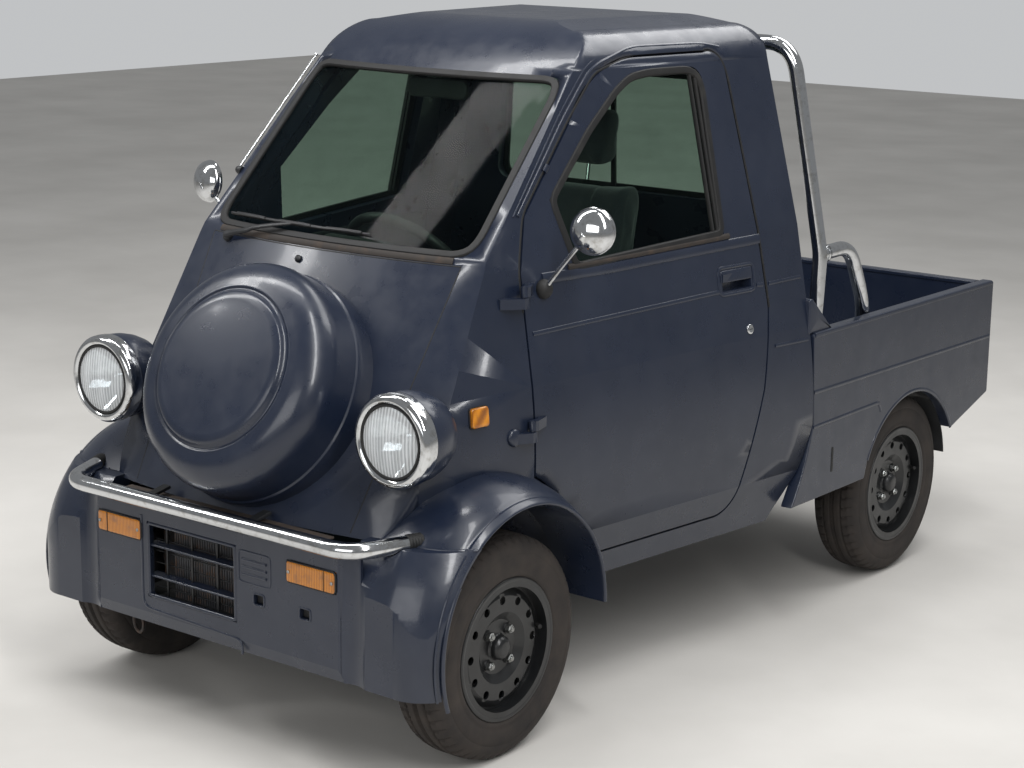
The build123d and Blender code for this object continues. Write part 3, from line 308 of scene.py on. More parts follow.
SLOT_FINISH = {
    "body_paint": "body enamel", "chassis_paint": "black chassis paint", "wheel_paint": "black wheel enamel",
    "chrome_tube": "chromium plate", "cast_metal": "cast iron", "clear_glass": "toughened window glass",
    "black_plastic": "black moulded plastic", "grey_plastic": "grey moulded plastic",
    "amber_plastic": "amber acrylic", "red_plastic": "red acrylic", "seat_cloth": "woven seat cloth",
    "tyre_rubber": "tyre rubber",
}
NODE_FINISH = {"bed_floor": "bed enamel", "leaf_springs": "spring steel"}
SOFT_EDGES = {
    "bed_sides": 4.0, "tailgate": 4.0, "bed_floor": 3.0, "rear_valance": 4.0, "chassis_frame": 3.0,
    "dashboard": 8.0, "seat_pedestal": 5.0, "engine_block": 6.0, "fuel_tank": 8.0, "radiator": 2.0,
    "front_suspension": 3.0, "bumper_cover": 4.0,
}


def unit(vectors):
    """Vectors made one long."""
    return vectors / np.linalg.norm(vectors, axis=-1, keepdims=True)


def grid(points, wrap_rows=False, wrap_columns=False):
    """A surface of two parameters: quads between the neighbours of a (rows, columns, 3) array of points."""
    rows, columns = points.shape[:2]
    i, j = np.meshgrid(np.arange(rows - (not wrap_rows)), np.arange(columns - (not wrap_columns)),
                       indexing="ij")
    k, m = (i + 1) % rows, (j + 1) % columns
    quads = np.stack([i * columns + j, k * columns + j, k * columns + m, i * columns + m], axis=-1)
    return points.reshape(-1, 3), quads.reshape(-1, 4)


def across_middle(half):
    """A closed (x, z) outline from its left half, which runs upwards from the foot."""
    return [(-half[0][0], half[0][1]), *half, *((-x, z) for x, z in half[:0:-1])]


def looped(profile):
    """A profile whose last point is its first again."""
    return np.concatenate([profile, profile[:1]])


def rectangle(left, low, right, high, radius):
    """A rectangle's outline with rounded corners."""
    return rounded([(left, low), (right, low), (right, high), (left, high)], radius, closed=True)


def circle(radius, steps=16, flat=1.0):
    """A round profile, or an oval one: radius * (cos a, flat * sin a)."""
    angle = np.linspace(0, 2 * np.pi, steps, endpoint=False)
    return radius * np.stack([np.cos(angle), flat * np.sin(angle)], axis=1)


def rounded(corners, radius, closed=False, arc=5):
    """A path whose corners P are cut from A to B, radius away on each run: (1-t)^2 A + 2t(1-t) P + t^2 B."""
    p = np.asarray(corners, float)
    before, after = np.roll(p, 1, axis=0), np.roll(p, -1, axis=0)
    radius = np.broadcast_to(np.asarray(radius, float).reshape(-1, 1), (len(p), 1))
    if not closed:
        before[0], after[-1] = p[0] * 2 - p[1], p[-1] * 2 - p[-2]
    start, end = (p + unit(run) * np.minimum(radius, np.linalg.norm(run, axis=1, keepdims=True) * 0.49)
                  for run in (before - p, after - p))
    t = np.linspace(0, 1, arc)[None, :, None]
    path = (1 - t) ** 2 * start[:, None] + 2 * t * (1 - t) * p[:, None] + t ** 2 * end[:, None]
    if not closed:
        path[0], path[-1] = p[0], p[-1]
    path = path.reshape(-1, p.shape[1])
    return path[np.r_[True, np.linalg.norm(np.diff(path, axis=0), axis=1) > 1e-6]]


def spaced(path, step, closed=False):
    """Points at even steps along a path, measured along its runs."""
    path = np.vstack([path, path[:1]]) if closed else np.asarray(path, float)
    run = np.r_[0.0, np.cumsum(np.linalg.norm(np.diff(path, axis=0), axis=1))]
    place = np.linspace(0.0, run[-1], max(int(round(run[-1] / step)), 2) + 1)
    points = np.stack([np.interp(place, run, path[:, i]) for i in range(path.shape[1])], axis=1)
    return points[:-1] if closed else points


def revolved(profile, centre, axis, steps=64, ripple=None):
    """A (radius, distance) profile turned about an axis: centre + distance * axis + radius * (cos a, sin a)
    across it. A ripple takes angle, radius and distance, and gives radius and distance back changed."""
    axis = unit(np.array(axis, float))
    across = unit(np.cross(axis, (0.0, 0.0, 1.0) if abs(axis[2]) < 0.9 else (1.0, 0.0, 0.0)))
    other = np.cross(axis, across)
    angle = np.linspace(0, 2 * np.pi, steps, endpoint=False)[None, :]
    profile = np.asarray(profile, float)
    radius, distance = profile[:, :1] + 0 * angle, profile[:, 1:] + 0 * angle
    if ripple:
        radius, distance = ripple(angle, radius, distance)
    spoke = across * np.cos(angle)[..., None] + other * np.sin(angle)[..., None]
    return grid(np.array(centre, float) + axis * distance[..., None] + spoke * radius[..., None],
                wrap_columns=True)


def swept(path, profile, up, closed=False, size=1.0):
    """A closed (across, up) profile carried along a path: path + size * (across * a + up * b), where across
    is square to the path's direction and to up. Open ends are closed to their middle."""
    path = np.asarray(path, float)
    ahead = np.roll(path, -1, axis=0) - np.roll(path, 1, axis=0) if closed else np.gradient(path, axis=0)
    ahead = unit(ahead)
    across = unit(np.cross(ahead, np.broadcast_to(np.asarray(up, float), path.shape)))
    up = np.cross(across, ahead)
    profile = np.asarray(profile, float)
    size = np.broadcast_to(np.asarray(size, float), len(path))[:, None, None]
    points = path[:, None] + (across[:, None] * profile[:, :1] + up[:, None] * profile[:, 1:]) * size
    if closed:
        return grid(points, True, True)
    middle = points.mean(axis=1, keepdims=True) + 0 * points
    return grid(np.concatenate([middle[:1], points, middle[-1:]]), wrap_columns=True)


def turned(profile, radius, centre, axis, steps=64):
    """A profile with its corners rounded, turned about an axis."""
    return revolved(rounded(profile, radius), centre, axis, steps)


def tube(path, radius, steps, up, **settings):
    """A round bar along a path."""
    return swept(path, circle(radius, steps), up, **settings)


def bead(path, width, height, up, **settings):
    """A half-round bead along a path, on a surface that faces up."""
    return swept(path, bead_profile(width, height), up, **settings)


def winding(path):
    """1 for a closed (u, v) path that runs anticlockwise, and -1 for a clockwise one."""
    u, v = path.T
    return np.sign(np.sum(u * np.roll(v, -1) - v * np.roll(u, -1)))


def slab(outline, low, high, place, bevel=2.0, rings=1):
    """A plate with rounded edges: an (u, v) outline from depth low to high, drawn in by a quarter circle at
    both faces and closed to its middle. place turns (u, v, w) into points."""
    outline = np.asarray(outline, float)
    ahead = unit(np.roll(outline, -1, axis=0) - np.roll(outline, 1, axis=0))
    inward = np.stack([-ahead[:, 1], ahead[:, 0]], axis=1) * winding(outline)
    angle = np.linspace(0, np.pi / 2, 4)
    inset = np.r_[bevel * (1 - np.sin(angle)), bevel * (1 - np.cos(angle))]
    level = np.r_[low + bevel * (1 - np.cos(angle)), high - bevel * (1 - np.sin(angle))]
    edge = outline + inward * inset[:, None, None]
    share = np.linspace(1, 0, rings + 1)[1:]
    middle = outline.mean(axis=0)
    top = middle + (edge[-1] - middle) * share[:, None, None]
    bottom = middle + (edge[0] - middle) * share[::-1, None, None]
    loops = np.concatenate([bottom, edge, top])
    depth = np.r_[np.full(rings, low), level, np.full(rings, high)]
    return grid(place(loops[..., 0], loops[..., 1], depth[:, None] + 0 * loops[..., 0]), wrap_columns=True)


def facing_side(u, v, w):
    """Slab coordinates (y, z, outwards) on a flat upright side."""
    return np.stack([w, u, v], axis=-1)


def facing_front(u, v, w):
    """Slab coordinates (x, z, y)."""
    return np.stack([u, w, v], axis=-1)


def facing_up(u, v, w):
    """Slab coordinates (x, y, z)."""
    return np.stack([u, v, w], axis=-1)


def flipped(shape, sign):
    """A left-hand shape, or with sign -1 the same on the truck's right, its faces still pointing outwards."""
    points, faces = shape
    return points * (sign, 1.0, 1.0), faces if sign > 0 else faces[:, ::-1]


def both_sides(*shapes):
    """Left-hand shapes and their mirror images."""
    return [flipped(shape, sign) for shape in shapes for _, sign in SIDES]


def add_pair(name, finish, body, *shapes, hides=(), crease=32.0):
    """A piece on the left one of two bodies and its mirror image on the right one, named after the side."""
    for side, sign in SIDES:
        add_piece(name + "_" + side, finish, [flipped(shape, sign) for shape in shapes],
                  [node + "_" + side for node in hides], body + "_" + side, crease)


def add_both(name, finish, *shapes, hides=(), crease=32.0):
    """One piece of left-hand shapes and their mirror images."""
    add_piece(name, finish, both_sides(*shapes), hides, crease=crease)


def add_piece(name, finish, shapes, hides=(), body="truck", crease=32.0):
    """A named mesh of shapes on a body, its doubled points merged, smooth but for edges past crease."""
    start = np.cumsum([0] + [len(points) for points, _ in shapes])
    points = np.concatenate([points for points, _ in shapes])
    faces = np.concatenate([np.asarray(quads) + first for (_, quads), first in zip(shapes, start)])
    mesh = bpy.data.meshes.new(name)
    mesh.from_pydata(((points + (0.0, FRONT_AXLE_Y, 0.0)) * MM).tolist(), [], faces.tolist())
    shell = bmesh.new()
    shell.from_mesh(mesh)
    bmesh.ops.remove_doubles(shell, verts=shell.verts, dist=0.01 * MM)
    bmesh.ops.recalc_face_normals(shell, faces=shell.faces)
    shell.to_mesh(mesh)
    shell.free()
    mesh.shade_smooth()
    mesh.set_sharp_from_angle(angle=math.radians(crease))
    mesh.materials.append(bpy.data.materials[finish])
    piece = bpy.data.objects.new(name, mesh)
    bpy.context.scene.collection.objects.link(piece)
    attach(piece, body)
    if hides:
        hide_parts(*hides)
    return piece


def side_x(y, z):
    """Half the cab's width: 588 + t(z) - 0.113 (1246 - y), where t is straight to 42 at 440, a shallow arc to
    42 at 830, straight to 0 at the belt and -98 at 1530, then curves into the roof."""
    radius, sag = 1581.0, 12.07
    low = 2 + (z - 304) * 40 / 136
    arc = 42 - (radius - sag) + np.sqrt(radius ** 2 - np.clip(z - 635, -400, 400) ** 2)
    high = np.where(z < BELT_Z, (BELT_Z - z) * 42 / 270, (BELT_Z - z) * 98 / 430)
    high = high - 0.0058 * np.clip(z - 1530, 0, 60) ** 2
    t = np.where(z < 440, low, np.where(z < 830, arc, high))
    return BELT_HALF_WIDTH + t - SIDE_TAPER * (CAB_REAR_Y - y)


def on_side(y, z, proud=0.0):
    """Points that stand proud of the cab's left side by a distance, square to it."""
    y, z, proud = np.broadcast_arrays(np.asarray(y, float), z, proud)
    slope = (side_x(y, z + 1) - side_x(y, z - 1)) / 2
    out = unit(np.stack([np.ones_like(y), np.full_like(y, -SIDE_TAPER), -slope], axis=-1))
    return np.stack([side_x(y, z), y, z], axis=-1) + out * proud[..., None], out


def facing_door(u, v, w):
    """Slab coordinates (y, z, outwards) on the cab's leaning side."""
    return on_side(u, v, w)[0]


def nose_y(x, z):
    """How far forward the nose or windscreen is: a cone about x 0, y 2000, 2000 - sqrt(r(z)^2 - x^2)."""
    foot_y, foot_z = SCREEN_FOOT
    nose = foot_y + (z - foot_z) * (foot_y - NOSE_FOOT[0]) / (foot_z - NOSE_FOOT[1])
    screen = foot_y + (z - foot_z) * (SCREEN_HEAD[0] - foot_y) / (SCREEN_HEAD[1] - foot_z)
    return PIVOT_Y - np.sqrt((PIVOT_Y - np.where(z < foot_z, nose, screen)) ** 2 - x ** 2)


def on_nose(x, z, proud=0.0):
    """Points that stand proud of the nose or windscreen by a distance, square to it."""
    x, z, proud = np.broadcast_arrays(np.asarray(x, float), z, proud)
    along = (nose_y(x + 1, z) - nose_y(x - 1, z)) / 2
    lean = np.where(z < SCREEN_FOOT[1], 0.5487, 0.949)
    out = unit(np.stack([along, -np.ones_like(x), lean], axis=-1))
    return np.stack([x, nose_y(x, z), z], axis=-1) + out * proud[..., None], out


def spot(surface, along, z, proud=0.0):
    """One point on a surface, and the way out of it."""
    places, out = surface(np.array([along]), z, proud)
    return places[0], out[0]


def front_path(outline, step, y, closed=True):
    """An (x, z) outline in even steps, all at one y."""
    return np.insert(spaced(outline, step, closed), 1, y, axis=1)


def window_seal(path, points, out, width, height=4.0, side=1):
    """A window's rubber on a surface: a low lip that falls away to the glass, along a closed path."""
    half = width / 2
    profile = rounded([(-half, -1), (-half + 3, height), (half - 6, height), (half, -7.2), (-half, -7.2)],
                      1.5, closed=True)
    return swept(points, profile * (side * winding(path), 1), out, closed=True)


def side_bead(corners, radius, width, height, step=14.0, closed=False, sink=1.0):
    """A half-round bead that lies along (y, z) corners on the cab's side."""
    path = spaced(rounded(corners, radius, closed), step, closed)
    points, out = on_side(path[:, 0], path[:, 1])
    return swept(points, bead_profile(width, height, sink), out, closed)


def nose_bead(corners, radius, width, height, step=14.0, closed=False, sink=1.0):
    """A half-round bead that lies along (x, z) corners on the nose or windscreen."""
    path = spaced(rounded(corners, radius, closed), step, closed)
    points, out = on_nose(path[:, 0], path[:, 1])
    return swept(points, bead_profile(width, height, sink), out, closed)


def bead_profile(width, height, sink=1.0):
    """Half an oval, width across and height up, closed a little below the surface that it lies on."""
    angle = np.linspace(0, np.pi, 7)
    arch = np.stack([width / 2 * np.cos(angle), height * np.sin(angle)], axis=1)
    return np.vstack([arch, [[-width / 2, -sink], [width / 2, -sink]]])


def bolt_heads(places, axis, radius=7.0, height=5.0):
    """Six-sided heads with a small crown, seated on places and pointing along an axis."""
    profile = [(0, 0), (radius, 0), (radius, height * 0.8), (radius * 0.8, height), (0, height)]
    return [revolved(profile, place, axis, 6) for place in places]


class TruckColours(bpy.types.PropertyGroup):
    """Colours that a user would change"""

    body_colour: FloatVectorProperty(
        name="Body paint", description="Colour of the cab, doors, wings and bed sides, as seen on a screen",
        subtype="COLOR_GAMMA", size=3, min=0.0, max=1.0, default=(0.09, 0.122, 0.19))


class TruckSizes(bpy.types.PropertyGroup):
    """Sizes of the fitted details that a user would change"""

    seal_width: FloatProperty(
        name="Window seal", description="Width of the rubber round each window, in millimetres",
        default=24.0, min=10.0, max=40.0)
    crease_height: FloatProperty(
        name="Panel crease", description="How far the pressed lines stand out of the panels, in millimetres",
        default=2.2, min=0.5, max=6.0)
    tread_depth: FloatProperty(
        name="Tread depth", description="Depth of the tyres' grooves, in millimetres",
        default=6.0, min=1.0, max=9.0)
    tread_pitches: IntProperty(
        name="Tread blocks", description="Blocks round each tyre's shoulder", default=54, min=24, max=90)
    bed_ribs: IntProperty(
        name="Floor ribs", description="Ribs pressed into the bed's floor", default=11, min=4, max=20)


class TRUCK_OT_finishes(bpy.types.Operator):
    """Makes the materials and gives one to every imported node"""

    bl_idname = "truck.finishes"
    bl_label = "Finishes"

    def execute(self, context):
        make_finishes(context.scene.truck_colours)
        slots = {part["node"]: part["material_slot"] for part in frame["record"]["subparts"]}
        for name, node in frame["nodes"].items():
            finish = bpy.data.materials[NODE_FINISH.get(name, SLOT_FINISH[slots[name]])]
            if not node.material_slots:
                node.data.materials.append(finish)
            for slot in node.material_slots:
                slot.material = finish
            weld = node.modifiers.new("Joined triangles", "WELD")
            weld.merge_threshold = 0.02 * MM
            if name in SOFT_EDGES:
                bevel = node.modifiers.new("Pressed edges", "BEVEL")
                bevel.width = SOFT_EDGES[name] * MM
                bevel.segments = 3
                bevel.limit_method = "ANGLE"
                bevel.angle_limit = math.radians(40)
        return {"FINISHED"}


# The floor's half width is in millimetres. The lamps and the camera, which stands where the photo was
# taken from, are in metres and degrees.
FLOOR_HALF = 14000
STAGE_LAMPS = (
    ("ceiling lamp left", (2.6, -1.8, 4.2), (0.5, 5.0), 150.0),
    ("ceiling lamp right", (-1.6, -1.6, 4.2), (0.5, 5.0), 130.0),
    ("ceiling lamp rear", (0.8, 2.6, 4.4), (4.0, 2.0), 110.0),
    ("front fill lamp", (1.2, -6.0, 2.4), (4.0, 2.0), 70.0),
)
CAMERA_ANGLES = (37.855, 13.030, 0.768)
CAMERA_PLACE = (3.4418, -4.6425, 1.9547)
CAMERA_SENSOR, CAMERA_LENS = 36.0, 75.6


class TRUCK_OT_stage(bpy.types.Operator):
    """A pale floor, soft lamps and the camera"""

    bl_idname = "truck.stage"
    bl_label = "Floor, Lamps and Camera"

    def execute(self, context):
        scene = context.scene
        scene.view_settings.view_transform = "Standard"
        across = np.linspace(-FLOOR_HALF, FLOOR_HALF, 9)
        x, y = np.meshgrid(across, across + 1000, indexing="ij")
        points, quads = grid(np.stack([x, y, 0 * x], axis=-1))
        mesh = bpy.data.meshes.new("floor")
        mesh.from_pydata((points * MM).tolist(), [], quads[:, ::-1].tolist())
        mesh.materials.append(bpy.data.materials["floated concrete"])
        floor = bpy.data.objects.new("floor", mesh)
        scene.collection.objects.link(floor)
        world = bpy.data.worlds.new("hall light")
        world.use_nodes = True
        world.node_tree.nodes.clear()
        tree = world.node_tree
        path = add_node(tree, "LightPath").outputs
        seen = maths(tree, "MAXIMUM", path["Is Camera Ray"], path["Is Transmission Ray"])
        strength = spread(tree, seen, 0.0, 1.0, 0.52, 0.72)
        strength = maths(tree, "SUBTRACT", strength, maths(tree, "MULTIPLY", path["Is Glossy Ray"], 0.2))
        backdrop = add_node(tree, "Background", {"Color": linear("#dfe1e3"), "Strength": strength})
        add_node(tree, "OutputWorld", {"Surface": backdrop.outputs[0]})
        scene.world = world
        for name, place, (width, length), power in STAGE_LAMPS:
            light = bpy.data.lights.new(name, "AREA")
            light.shape = "RECTANGLE"
            light.size, light.size_y, light.energy = width, length, power
            lamp = bpy.data.objects.new(name, light)
            toward = Matrix.Translation((0, 0, 0.7)).translation - Matrix.Translation(place).translation
            lamp.rotation_euler = toward.to_track_quat("-Z", "Y").to_euler()
            lamp.location = place
            scene.collection.objects.link(lamp)
        yaw, pitch, roll = (math.radians(value) for value in CAMERA_ANGLES)
        ahead = np.array([-math.sin(yaw) * math.cos(pitch), math.cos(yaw) * math.cos(pitch),
                          -math.sin(pitch)])
        right = np.array([math.cos(yaw), math.sin(yaw), 0.0])
        above = np.cross(right, ahead)
        turned_right = math.cos(roll) * right + math.sin(roll) * above
        turned_above = math.cos(roll) * above - math.sin(roll) * right
        view = Matrix(np.column_stack([turned_right, turned_above, -ahead]).tolist()).to_4x4()
        view.translation = CAMERA_PLACE
        lens = bpy.data.cameras.new("photo view")
        lens.sensor_width, lens.lens = CAMERA_SENSOR, CAMERA_LENS
        camera = bpy.data.objects.new("photo view", lens)
        camera.matrix_world = view
        scene.collection.objects.link(camera)
        scene.camera = camera
        return {"FINISHED"}


LAMP_CENTRE = (464.0, -248.0, 776.0)


class TRUCK_OT_headlamps(bpy.types.Operator):
    """Both headlamps: shells, chrome rims, dark inner rings, bright bowls, bulbs and fluted glasses"""

    bl_idname = "truck.headlamps"
    bl_label = "Headlamps"

    def execute(self, context):
        shell = [(99, 8), (99, 32), (104, 36), (105, 44), (103, 70), (96, 98), (84, 124), (66, 146),
                 (40, 160), (0, 166), (0, 158), (60, 138), (90, 95), (97, 60), (95, 8), (99, 8)]
        rim = rounded([(84, 6), (85, -4), (92, -9), (101, -6), (107, 2), (108, 14), (107, 33), (100, 33),
                       (100, 12), (93, 8)], 3.0, closed=True)
        collar = rounded([(78, 2), (79, -5), (84, -6), (86, 2), (86, 12), (78, 12)], 1.5, closed=True)
        bowl_radius, depth, glass_radius, flute = 88, 54, 81, 11
        reach = np.linspace(0, bowl_radius, 16)
        hollow = np.stack([reach, 62 - depth * (reach / bowl_radius) ** 2], axis=1)
        bowl = np.vstack([hollow, hollow[::-1] + (0, 3)])
        dome = np.linspace(0, glass_radius, 28)
        outer = np.stack([dome, -13 + 11 * (dome / glass_radius) ** 2], axis=1)
        glass = np.vstack([outer, outer[::-1] + (0, 3.5)])

        def fluted(angle, radius, distance):
            """Moves the glass by a wave across it, cos(2 pi x / 11 mm), fading towards the rim."""
            wave = np.cos(2 * np.pi * radius * np.cos(angle) / flute)
            return radius, distance + 0.8 * wave * (1 - (radius / glass_radius) ** 4)

        bulb = rounded([(0, 8), (8, 9), (9, 20), (6, 30), (11, 34), (11, 60), (0, 60)], 2.0)
        x, y, z = LAMP_CENTRE
        screws = bolt_heads([(x - 66, y - 4, z - 70), (x + 66, y - 4, z - 70)], FRONT, 4.0, 3.0)
        for name, finish, profile, hides, ripple in (
                ("lamp_shells", "body enamel", shell, ("headlamp_shells",), None),
                ("lamp_rims", "chromium plate", looped(rim), ("headlamp_rings",), None),
                ("lamp_collars", "black rubber", looped(collar), (), None),
                ("lamp_bowls", "lamp reflector silver", looped(bowl), (), None),
                ("lamp_glasses", "lamp glass with painted highlights", looped(glass), ("headlamp_lenses",), fluted),
                ("lamp_bulbs", "lamp reflector silver", bulb, (), None)):
            lamp = revolved(profile, LAMP_CENTRE, REAR, 96, ripple)
            add_both(name, finish, lamp, hides=hides)
        add_both("lamp_rim_screws", "zinc plated steel", *screws)
        return {"FINISHED"}


class TRUCK_OT_bumper(bpy.types.Operator):
    """The plated tube with its plugs and brackets, the amber lamps, the face's pressings, and the tow ring"""

    bl_idname = "truck.bumper"
    bl_label = "Bumper"

    def execute(self, context):
        line_y, end_y, z = -370.0, -240.0, 550.0
        path = rounded([(-506, end_y, z + 2), (-452, line_y, z), (452, line_y, z), (506, end_y, z + 2)],
                       58.0, arc=13)
        add_piece("bumper_tube", "chromium plate", [tube(spaced(path, 12), 19.5, 32, UP)],
                  hides=("bumper_bar",))
        ribs = [(22.0 - 1.6 * (step % 2), 2.0 + 3.5 * step) for step in range(9)]
        plug = rounded([(0, -6), (18, -6), (21, -2), *ribs, (16, 38), (0, 40)], 1.5)
        plugs = [revolved(plug, (506, end_y, z + 2), (0.38, 0.92, 0.0), 32)]
        add_both("tube_plugs", "black rubber", *plugs)
        brackets = [swept([(x, line_y + 14, z - 1), (x, -286, z + 12)], rectangle(-12, -4, 12, 4, 1.5), UP)
                    for x in (-205.0, 125.0)]
        add_piece("bar_brackets", "black chassis paint", brackets)
        tray = slab(rectangle(-330, -347, 330, -284, 4.0), 539, 544, facing_up, 1.5)
        lip = tube([(x, -344, 545) for x in np.linspace(-330, 330, 8)], 3.5, 12, UP)
        add_piece("front_tray", "dusty tray paint", [tray, lip])

        lens = rectangle(238, 436, 384, 484, 7.0)
        lenses = slab(lens, BUMPER_Y - 6, BUMPER_Y + 12, facing_front, 3.0, rings=4)
        add_both("signal_lenses", "amber acrylic", lenses, hides=("turn_signals",))
        frame_path = front_path(lens, 8, BUMPER_Y - 1.5)
        seal = tube(frame_path, 3.2, 10, REAR, closed=True)
        bar = tube([(352, BUMPER_Y - 6, 437), (352, BUMPER_Y - 6, 483)], 1.4, 8, REAR)
        add_both("signal_seals", "black rubber", seal)
        add_both("signal_partings", "brown weathered rubber", bar)
        screws = [(x, BUMPER_Y - 6, 460) for x in (246, 377)]
        add_both("signal_screws", "zinc plated steel", *bolt_heads(screws, FRONT, 4.0, 2.5))
        holes = ((147, 370), (290, 368))
        rims = [bead(front_path(rectangle(x - 17, z - 14, x + 17, z + 14, 5.0), 6, BUMPER_Y - 0.2), 5.0, 2.0,
                     FRONT, closed=True) for x, z in holes]
        seat = bead(front_path(rectangle(84, 404, 184, 478, 10.0), 8, BUMPER_Y - 0.2), 5.0, 1.6, FRONT,
                    closed=True)
        add_piece("bumper_pressings", "body enamel", [*rims, seat])
        # Black slabs in the black rubber finish, set a little behind the two square holes: painted shade that
        # darkens the holes' depth.
        shades = [slab(rectangle(x - 13, z - 10, x + 13, z + 10, 3.0),
                      BUMPER_Y + 9, BUMPER_Y + 12, facing_front, 0.8) for x, z in holes]
        add_piece("painted_hole_shade", "black rubber", shades)
        ring = revolved(circle(4.5, 12) + (24.0, 0.0), (-300, -300, 206), (0.25, 1.0, 0.0), 40)
        shank = tube([(-296, -296, 226), (-290, -284, 250)], 5.0, 12, LEFT)
        add_piece("front_tow_ring", "spring steel", [ring, shank])
        return {"FINISHED"}


GRILLE = (-220.0, 76.0, 300.0, 486.0)
GRILLE_SLATS = (352.0, 428.0)


class TRUCK_OT_grille(bpy.types.Operator):
    """The grille: a bevelled surround, two blade slats, dark uprights and rods, pressed lines, cooler fins"""

    bl_idname = "truck.grille"
    bl_label = "Grille"

    def execute(self, context):
        right, left, low, high = GRILLE
        corners = rectangle(right, low, left, high, 10.0)
        path = spaced(corners, 10, True)
        rim = np.insert(path, 1, BUMPER_Y, axis=1)
        bevel = rounded([(-9, 0), (-6, 2.4), (-2, 2.4), (9, -13), (9, -17), (-5, -17), (-9, -2)], 1.5, True)
        surround = swept(rim, bevel * (winding(path), 1), FRONT, True)
        add_piece("grille_surround", "body enamel", [surround])
        blade = rounded([(-15, 5), (11, 3), (13, 0), (11, -3), (-15, -5)], 1.5, closed=True)
        slats = [swept([(x, BUMPER_Y + 16, z) for x in np.linspace(right, left, 8)], blade, UP)
                 for z in GRILLE_SLATS]
        add_piece("grille_slats", "body enamel", slats, hides=("grille",))
        posts = [slab(rectangle(x - 3, low, x + 3, high, 1.5), BUMPER_Y + 21,
                      BUMPER_Y + 26, facing_front, 1.0) for x in (-176, -92, -8)]
        rods = [tube([(right, BUMPER_Y + 30, z), (left, BUMPER_Y + 30, z)], 1.8, 8, REAR)
                for z in np.linspace(low + 20, high - 20, 6)]
        add_piece("grille_posts", "black moulded plastic", posts + rods)
        step = rounded([(-238, 498), (-238, 272), (92, 262), (92, 228)], 26.0)
        line = bead(front_path(step, 9, BUMPER_Y - 0.2, False), 7.0, 2.4, FRONT)
        louvres = [bead([(x, BUMPER_Y - 0.2, z) for x in (96, 134, 172)], 7.0, 3.0, FRONT)
                   for z in (424, 441, 458)]
        add_piece("grille_lines", "body enamel", [line, *louvres])
        fins = [tube([(x, -301, 300), (x, -301, 492)], 1.6, 6, REAR) for x in np.arange(-164, 166, 8.0)]
        add_piece("radiator_fins", "cast iron", fins)
        return {"FINISHED"}


def closed_sheet(points):
    """A sheet given as its front rows, then its back rows in reverse, closed along both long edges."""
    rows = points.shape[0] // 2
    quads = grid(points, wrap_rows=True)[1]
    columns = points.shape[1]
    row = np.arange(rows - 1)
    ends = [np.stack([row * columns + c, (row + 1) * columns + c, (2 * rows - 2 - row) * columns + c,
                      (2 * rows - 1 - row) * columns + c], axis=-1) for c in (0, columns - 1)]
    return points.reshape(-1, 3), np.concatenate([quads, *ends])


COVER_CENTRE = np.array((0.0, -148.0, 803.0))
COVER_RADIUS = 281.0


class TRUCK_OT_spare_cover(bpy.types.Operator):
    """The round spare wheel cover, whose skirt ends on the nose"""

    bl_idname = "truck.spare_cover"
    bl_label = "Spare Wheel Cover"

    def execute(self, context):
        tilt = math.radians(27.0)
        axis = np.array((0.0, -math.cos(tilt), math.sin(tilt)))
        across, other = np.array((1.0, 0.0, 0.0)), np.cross(axis, (1.0, 0.0, 0.0))
        steps, halvings = 144, 24
        angle = np.linspace(0, 2 * np.pi, steps, endpoint=False)
        spoke = across * np.cos(angle)[:, None] + other * np.sin(angle)[:, None]
        low, high = np.full(steps, -120.0), np.full(steps, 62.0)
        for _ in range(halvings):
            middle = (low + high) / 2
            point = COVER_CENTRE + spoke * COVER_RADIUS + axis * middle[:, None]
            inside = point[:, 1] > nose_y(np.clip(point[:, 0], -400, 400), point[:, 2]) + 3
            low, high = np.where(inside, middle, low), np.where(inside, high, middle)
        turn = np.linspace(0, np.pi / 2, 12)
        shoulder = np.stack([206 + 69 * np.cos(turn), 96 + 78 * np.sin(turn)], axis=1)
        ring = rounded([(206, 174), (196, 176), (191, 172.5), (186, 176), (180, 187), (168, 191)], 4.0)
        inner = np.linspace(160, 0, 10)
        face = np.stack([inner, 191 + 4 * (1 - (inner / 160) ** 2)], axis=1)
        outer = np.vstack([[(281, 24), (280, 30), (276, 33), (275, 38)], shoulder, ring[1:], face])
        skirt = np.linspace(0, 1, 5)[:-1, None]
        rows = [(COVER_RADIUS, low + share * (24 - low)) for share in skirt]
        rows += [(radius, np.full(steps, distance)) for radius, distance in outer]
        points = np.stack([COVER_CENTRE + spoke * radius + axis * distance[:, None]
                           for radius, distance in rows])
        add_piece("spare_cover", "body enamel", [grid(points, wrap_columns=True)],
                  hides=("spare_wheel_cover",))
        return {"FINISHED"}


